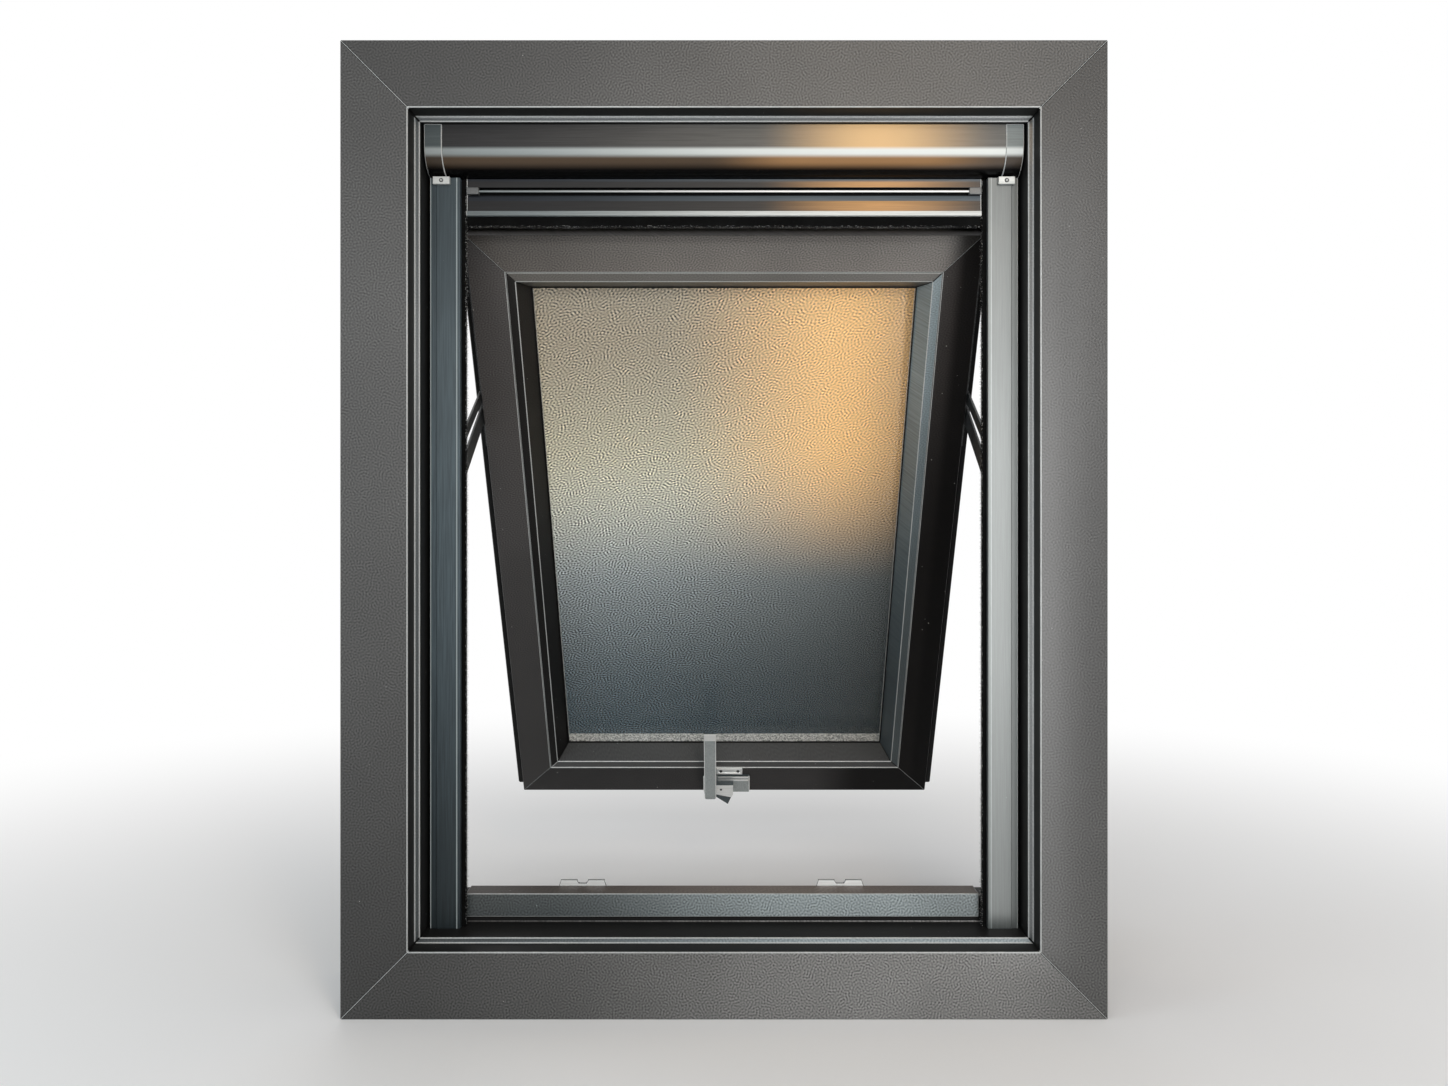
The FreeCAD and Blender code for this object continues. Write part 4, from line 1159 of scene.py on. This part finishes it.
def pane_grid(node):
    """The pane as a closed slab whose room face is a fine grid, marked as rolled away from its rim."""
    low, high = sash_box(node)
    columns = round((high.x - low.x) / RELIEF_STEP)
    rows = round((high.z - low.z) / RELIEF_STEP)
    shape = bmesh.new()
    rolled = shape.verts.layers.float.new("rolled")
    grid = []
    for row in range(rows + 1):
        line = []
        for column in range(columns + 1):
            across = low.x + (high.x - low.x) * column / columns
            up = low.z + (high.z - low.z) * row / rows
            corner = shape.verts.new(from_sash @ Vector((across, low.y, up)))
            corner[rolled] = float(0 < row < rows and 0 < column < columns)
            line.append(corner)
        grid.append(line)
    for row in range(rows):
        for column in range(columns):
            shape.faces.new((
                grid[row][column], grid[row][column + 1], grid[row + 1][column + 1], grid[row + 1][column],
            ))
    rim = grid[0] + [line[-1] for line in grid[1:]]
    rim += grid[-1][-2::-1] + [line[0] for line in grid[-2:0:-1]]
    back = [shape.verts.new(corner.co + OUT * (high.y - low.y)) for corner in rim]
    for index, corner in enumerate(rim):
        after = (index + 1) % len(rim)
        shape.faces.new((rim[after], corner, back[index], back[after]))
    shape.faces.new(back[::-1])
    bmesh.ops.recalc_face_normals(shape, faces=shape.faces)
    return mesh_from(shape, "rolled_pane")


rolled_pane = grow(
    "obscure_glass_pane", pane_grid("glass_outer_pane"), relief_tree(),
    {"Scale": 30.0, "Windings": 1.5, "Rise": 0.1 * MM, "Finish": room_glass}, "window",
)
for face in rolled_pane.data.polygons:
    face.use_smooth = face.normal.dot(OUT) < -0.5
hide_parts("glass_outer_pane")

# %% [markdown]
# ## Glazing gasket
# A thin black line of rubber closes the joint between each bead and the clear pane. It follows a closed
# path, so a curve with a round profile is the natural tool: Curve to Mesh inside a geometry tree.

# %% Run the gasket round the beads
TUBE_SIDES = 8
GASKET_RADIUS = 1.3 * MM


def tube_tree(name):
    tree, given = geometry_tree(name, {"Radius": FLOAT, "Finish": MATERIAL})
    path = add_node(tree, "GeometryNodeMeshToCurve", {"Mesh": given["Geometry"]})
    profile = add_node(
        tree, "GeometryNodeCurvePrimitiveCircle", {"Resolution": TUBE_SIDES, "Radius": given["Radius"]},
    )
    tube = add_node(tree, "GeometryNodeCurveToMesh", {"Curve": path, "Profile Curve": profile})
    return close_tree(tree, tube, given["Finish"])


def closed_path(name, corners):
    count = len(corners)
    return mesh_of(name, corners, [(i, (i + 1) % count) for i in range(count)])


inner_left, sight_left = (corner.x for corner in sash_box("bead_left"))
sight_right, inner_right = (corner.x for corner in sash_box("bead_right"))
inner_low, sight_low = (corner.z for corner in sash_box("bead_bottom"))
sight_high, inner_high = (corner.z for corner in sash_box("bead_top"))
clear_face = sash_box("glass_inner_pane")[0].y - GASKET_RADIUS
sight_corners = (
    (sight_left, sight_low), (sight_right, sight_low), (sight_right, sight_high), (sight_left, sight_high),
)
gasket_path = closed_path(
    "inner_gasket", [from_sash @ Vector((across, clear_face, up)) for across, up in sight_corners],
)
tubes = tube_tree("tube_run")
gasket_look = {"Radius": GASKET_RADIUS, "Finish": black_rubber}
grow("inner_gasket", gasket_path, tubes, gasket_look, "window")

# %% [markdown]
# ## Mitre seams
# Where two profiles meet at a corner, a thin bright line runs between two eased edges; it wears the
# painted edge highlight. Each line lies in the groove of the joint, just behind the face. The tube tree of
# the gasket serves again, on open paths.

# %% Lay the seams
SEAM_RADIUS = 0.4 * MM
SEAM_DEPTH = 0.5 * MM
SEAM_INSET = 1.0 * MM


def open_paths(name, pairs):
    points = [point for pair in pairs for point in pair]
    return mesh_of(name, points, [(i, i + 1) for i in range(0, len(points), 2)])


frame_seams = []
for edge_x, run_x in ((frame_low[0] + SEAM_INSET, 1), (frame_high[0] - SEAM_INSET, -1)):
    for edge_z, run_z in ((frame_low[2] + SEAM_INSET, 1), (frame_high[2] - SEAM_INSET, -1)):
        corner = Vector((edge_x, face_plane + SEAM_DEPTH, edge_z))
        frame_seams.append((corner, corner + Vector((run_x, 0, run_z)) * FACE_WIDTH))
flange = SASH_FLANGE + SEAM_INSET
seam_level = sash_front + SEAM_DEPTH
sash_seams = []
for outer_z, inner_z in ((outer_low + flange, inner_low), (outer_high - flange, inner_high)):
    for outer_x, inner_x in ((outer_left + flange, inner_left), (outer_right - flange, inner_right)):
        ends = ((outer_x, outer_z), (inner_x, inner_z))
        sash_seams.append([from_sash @ Vector((across, seam_level, up)) for across, up in ends])
seam_look = {"Radius": SEAM_RADIUS, "Finish": edge_highlight}
for name, pairs in (("frame_mitre_seams", frame_seams), ("sash_mitre_seams", sash_seams)):
    grow(name, open_paths(name, pairs), tubes, seam_look, "window")

# %% [markdown]
# ## Brush pile
# Brushes along the rails and under the pull bar close the screen's edges. Thousands of hairs stand in
# rows, so they are instances of one thin cone along straight lines, each leaning a little and cut to its
# own length by a seeded random value.

# %% Grow the bristles
SHORTEST, LONGEST = 0.65, 1.15


def bristle_tree():
    tree, given = geometry_tree("bristle_rows", {
        "Spacing": FLOAT, "Length": FLOAT, "Thickness": FLOAT, "Lean": FLOAT,
        "Direction": "NodeSocketVector", "Seed": "NodeSocketInt", "Finish": MATERIAL,
    })
    path = add_node(tree, "GeometryNodeMeshToCurve", {"Mesh": given["Geometry"]})
    spaced = {"Curve": path, "Length": given["Spacing"]}
    roots = add_node(tree, "GeometryNodeResampleCurve", spaced, mode="LENGTH")
    hair = add_node(
        tree, "GeometryNodeMeshCone",
        {"Vertices": 3, "Radius Top": 0.0, "Radius Bottom": given["Thickness"], "Depth": given["Length"]},
    )
    wide = add_node(tree, "ShaderNodeCombineXYZ", {i: given["Lean"] for i in range(3)})
    sway = add_node(
        tree, "FunctionNodeRandomValue", {0: dim(tree, wide, -1.0), 1: wide, "Seed": given["Seed"]},
        data_type="FLOAT_VECTOR",
    )
    aim = add_node(tree, "ShaderNodeVectorMath", {0: given["Direction"], 1: sway}, operation="ADD")
    turn = add_node(tree, "FunctionNodeAlignRotationToVector", {"Vector": aim}, axis="Z")
    cut = add_node(
        tree, "FunctionNodeRandomValue", {2: SHORTEST, 3: LONGEST, "Seed": given["Seed"]}, 1,
        data_type="FLOAT",
    )
    size = add_node(tree, "ShaderNodeCombineXYZ", {0: 1.0, 1: 1.0, 2: cut})
    stand = {"Points": roots, "Instance": hair, "Rotation": turn, "Scale": size}
    hairs = add_node(tree, "GeometryNodeInstanceOnPoints", stand)
    return close_tree(tree, hairs, given["Finish"])


HAIR = {"Spacing": 0.9 * MM, "Thickness": 0.22 * MM, "Lean": 0.38, "Finish": brush_hair}
HAIR_INSET = 0.2 * MM
RAIL_HAIR, BAR_HAIR = 2.6 * MM, 3.2 * MM
RAIL_ROWS = (0.1, 0.35, 0.65, 0.9)
BAR_ROWS = (0.05, 0.35, 0.65, 0.95)
bristles = bristle_tree()


def brush(name, starts, run, length, direction, seed):
    rows = open_paths(name, [(start, start + run) for start in starts])
    look = {**HAIR, "Length": length, "Direction": direction, "Seed": seed}
    grow(name, rows, bristles, look, "window")


for hand, side, seed in (("left", 1, 3), ("right", -1, 4)):
    low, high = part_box("rail_brush_" + hand)
    tip = high.x - HAIR_INSET if side == 1 else low.x + HAIR_INSET
    starts = [Vector((tip, low.y + (high.y - low.y) * share, low.z)) for share in RAIL_ROWS]
    brush("rail_bristles_" + hand, starts, UP * (high.z - low.z), RAIL_HAIR, (side, 0, 0), seed)
low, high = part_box("pull_bar_brush")
starts = [Vector((low.x, low.y + (high.y - low.y) * share, low.z + HAIR_INSET)) for share in BAR_ROWS]
brush("pull_bar_bristles", starts, ACROSS * (high.x - low.x), BAR_HAIR, (0, 0, -1), 7)

# %% [markdown]
# ## Screws
# Small socket screws hold the keep plate, the rail clips, the stay tracks and the nose of the handle.
# Each is the same low head with a six-sided socket, cut by a Boolean inside the tree, and set on a point
# that knows its own axis.

# %% Helpers for screws
HEAD_SIDES, SOCKET_SIDES = 24, 6
CROWN_SHARE, SOCKET_SHARE = 0.8, 0.5


def screw_tree():
    tree, given = geometry_tree(
        "socket_screws", {"Head Radius": FLOAT, "Head Height": FLOAT, "Finish": MATERIAL},
    )
    radius, height = given["Head Radius"], given["Head Height"]
    crown = math_node(tree, "MULTIPLY", radius, CROWN_SHARE)
    head = add_node(
        tree, "GeometryNodeMeshCone",
        {"Vertices": HEAD_SIDES, "Radius Top": crown, "Radius Bottom": radius, "Depth": height},
    )
    bore = math_node(tree, "MULTIPLY", radius, SOCKET_SHARE)
    bored = {"Vertices": SOCKET_SIDES, "Radius": bore, "Depth": height}
    socket = add_node(tree, "GeometryNodeMeshCylinder", bored)
    raised = add_node(tree, "ShaderNodeCombineXYZ", {2: height})
    cutter = add_node(tree, "GeometryNodeTransform", {"Geometry": socket, "Translation": raised})
    both = {"Mesh 1": head, "Mesh 2": cutter}
    drilled = add_node(tree, "GeometryNodeMeshBoolean", both, operation="DIFFERENCE")
    axis = add_node(tree, "GeometryNodeInputNamedAttribute", {"Name": "axis"}, data_type="FLOAT_VECTOR")
    turn = add_node(tree, "FunctionNodeAlignRotationToVector", {"Vector": axis}, axis="Z")
    stand = {"Points": given["Geometry"], "Instance": drilled, "Rotation": turn}
    return close_tree(tree, add_node(tree, "GeometryNodeInstanceOnPoints", stand), given["Finish"])


screws = screw_tree()


def set_screws(name, seats, axes, radius, height, finish, body):
    """Sets a screw on each seat, along the axis given for it. Radius and height of the head are in mm."""
    mesh = mesh_of(name, seats)
    stored = mesh.attributes.new("axis", "FLOAT_VECTOR", "POINT")
    for index, axis in enumerate(axes):
        stored.data[index].vector = axis
    look = {"Head Radius": radius * MM, "Head Height": height * MM, "Finish": finish}
    grow(name, mesh, screws, look, body)


# %% Set the screws
KEEP_RECESS = 1.0 * MM
KEEP_INSET = 6 * MM
TRACK_SEAT = 1.5 * MM
TRACK_SHARES = (0.06, 0.35, 0.65, 0.94)
CLIP_SEAT = 1.8 * MM
NOSE_ACROSS, NOSE_UP = 14.5 * MM, 3.5 * MM
keep_low, keep_high = sash_box("handle_keep_plate")
keep_seats = [
    from_sash @ Vector((across, keep_low.y + KEEP_RECESS, (keep_low.z + keep_high.z) / 2))
    for across in (keep_low.x + KEEP_INSET, keep_high.x - KEEP_INSET)
]
set_screws("keep_plate_screws", keep_seats, [-OUT] * 2, 2.1, 0.9, stay_steel, "window")
track_seats = []
track_axes = []
for hand, side in (("left", 1), ("right", -1)):
    low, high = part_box("stay_track_" + hand)
    seat = low.x + TRACK_SEAT if side == 1 else high.x - TRACK_SEAT
    for share in TRACK_SHARES:
        track_seats.append(Vector((seat, (low.y + high.y) / 2, low.z + (high.z - low.z) * share)))
        track_axes.append(ACROSS * side)
set_screws("stay_track_screws", track_seats, track_axes, 3.6, 1.0, bright_metal, "window")
clip_seats = []
for hand in ("left", "right"):
    low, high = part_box("rail_clip_" + hand)
    clip_seats.append(Vector(((low.x + high.x) / 2, low.y + CLIP_SEAT, (low.z + high.z) / 2)))
clip_axes = [Vector((0, -1, 0))] * 2
set_screws("rail_clip_rings", clip_seats, clip_axes, 2.6, 2.1, stay_steel, "window")
set_screws("rail_clip_screws", clip_seats, clip_axes, 1.2, 2.6, bright_metal, "window")
pivot = to_sash @ Vector(frame["joints"][0]["pos_m"])
nose_seat = from_sash @ Vector((pivot.x + NOSE_ACROSS, sash_front - SHELF_FRONT, pivot.z + NOSE_UP))
set_screws("nose_screw", [nose_seat], [-OUT], 1.6, 0.5, stay_steel, "handle")
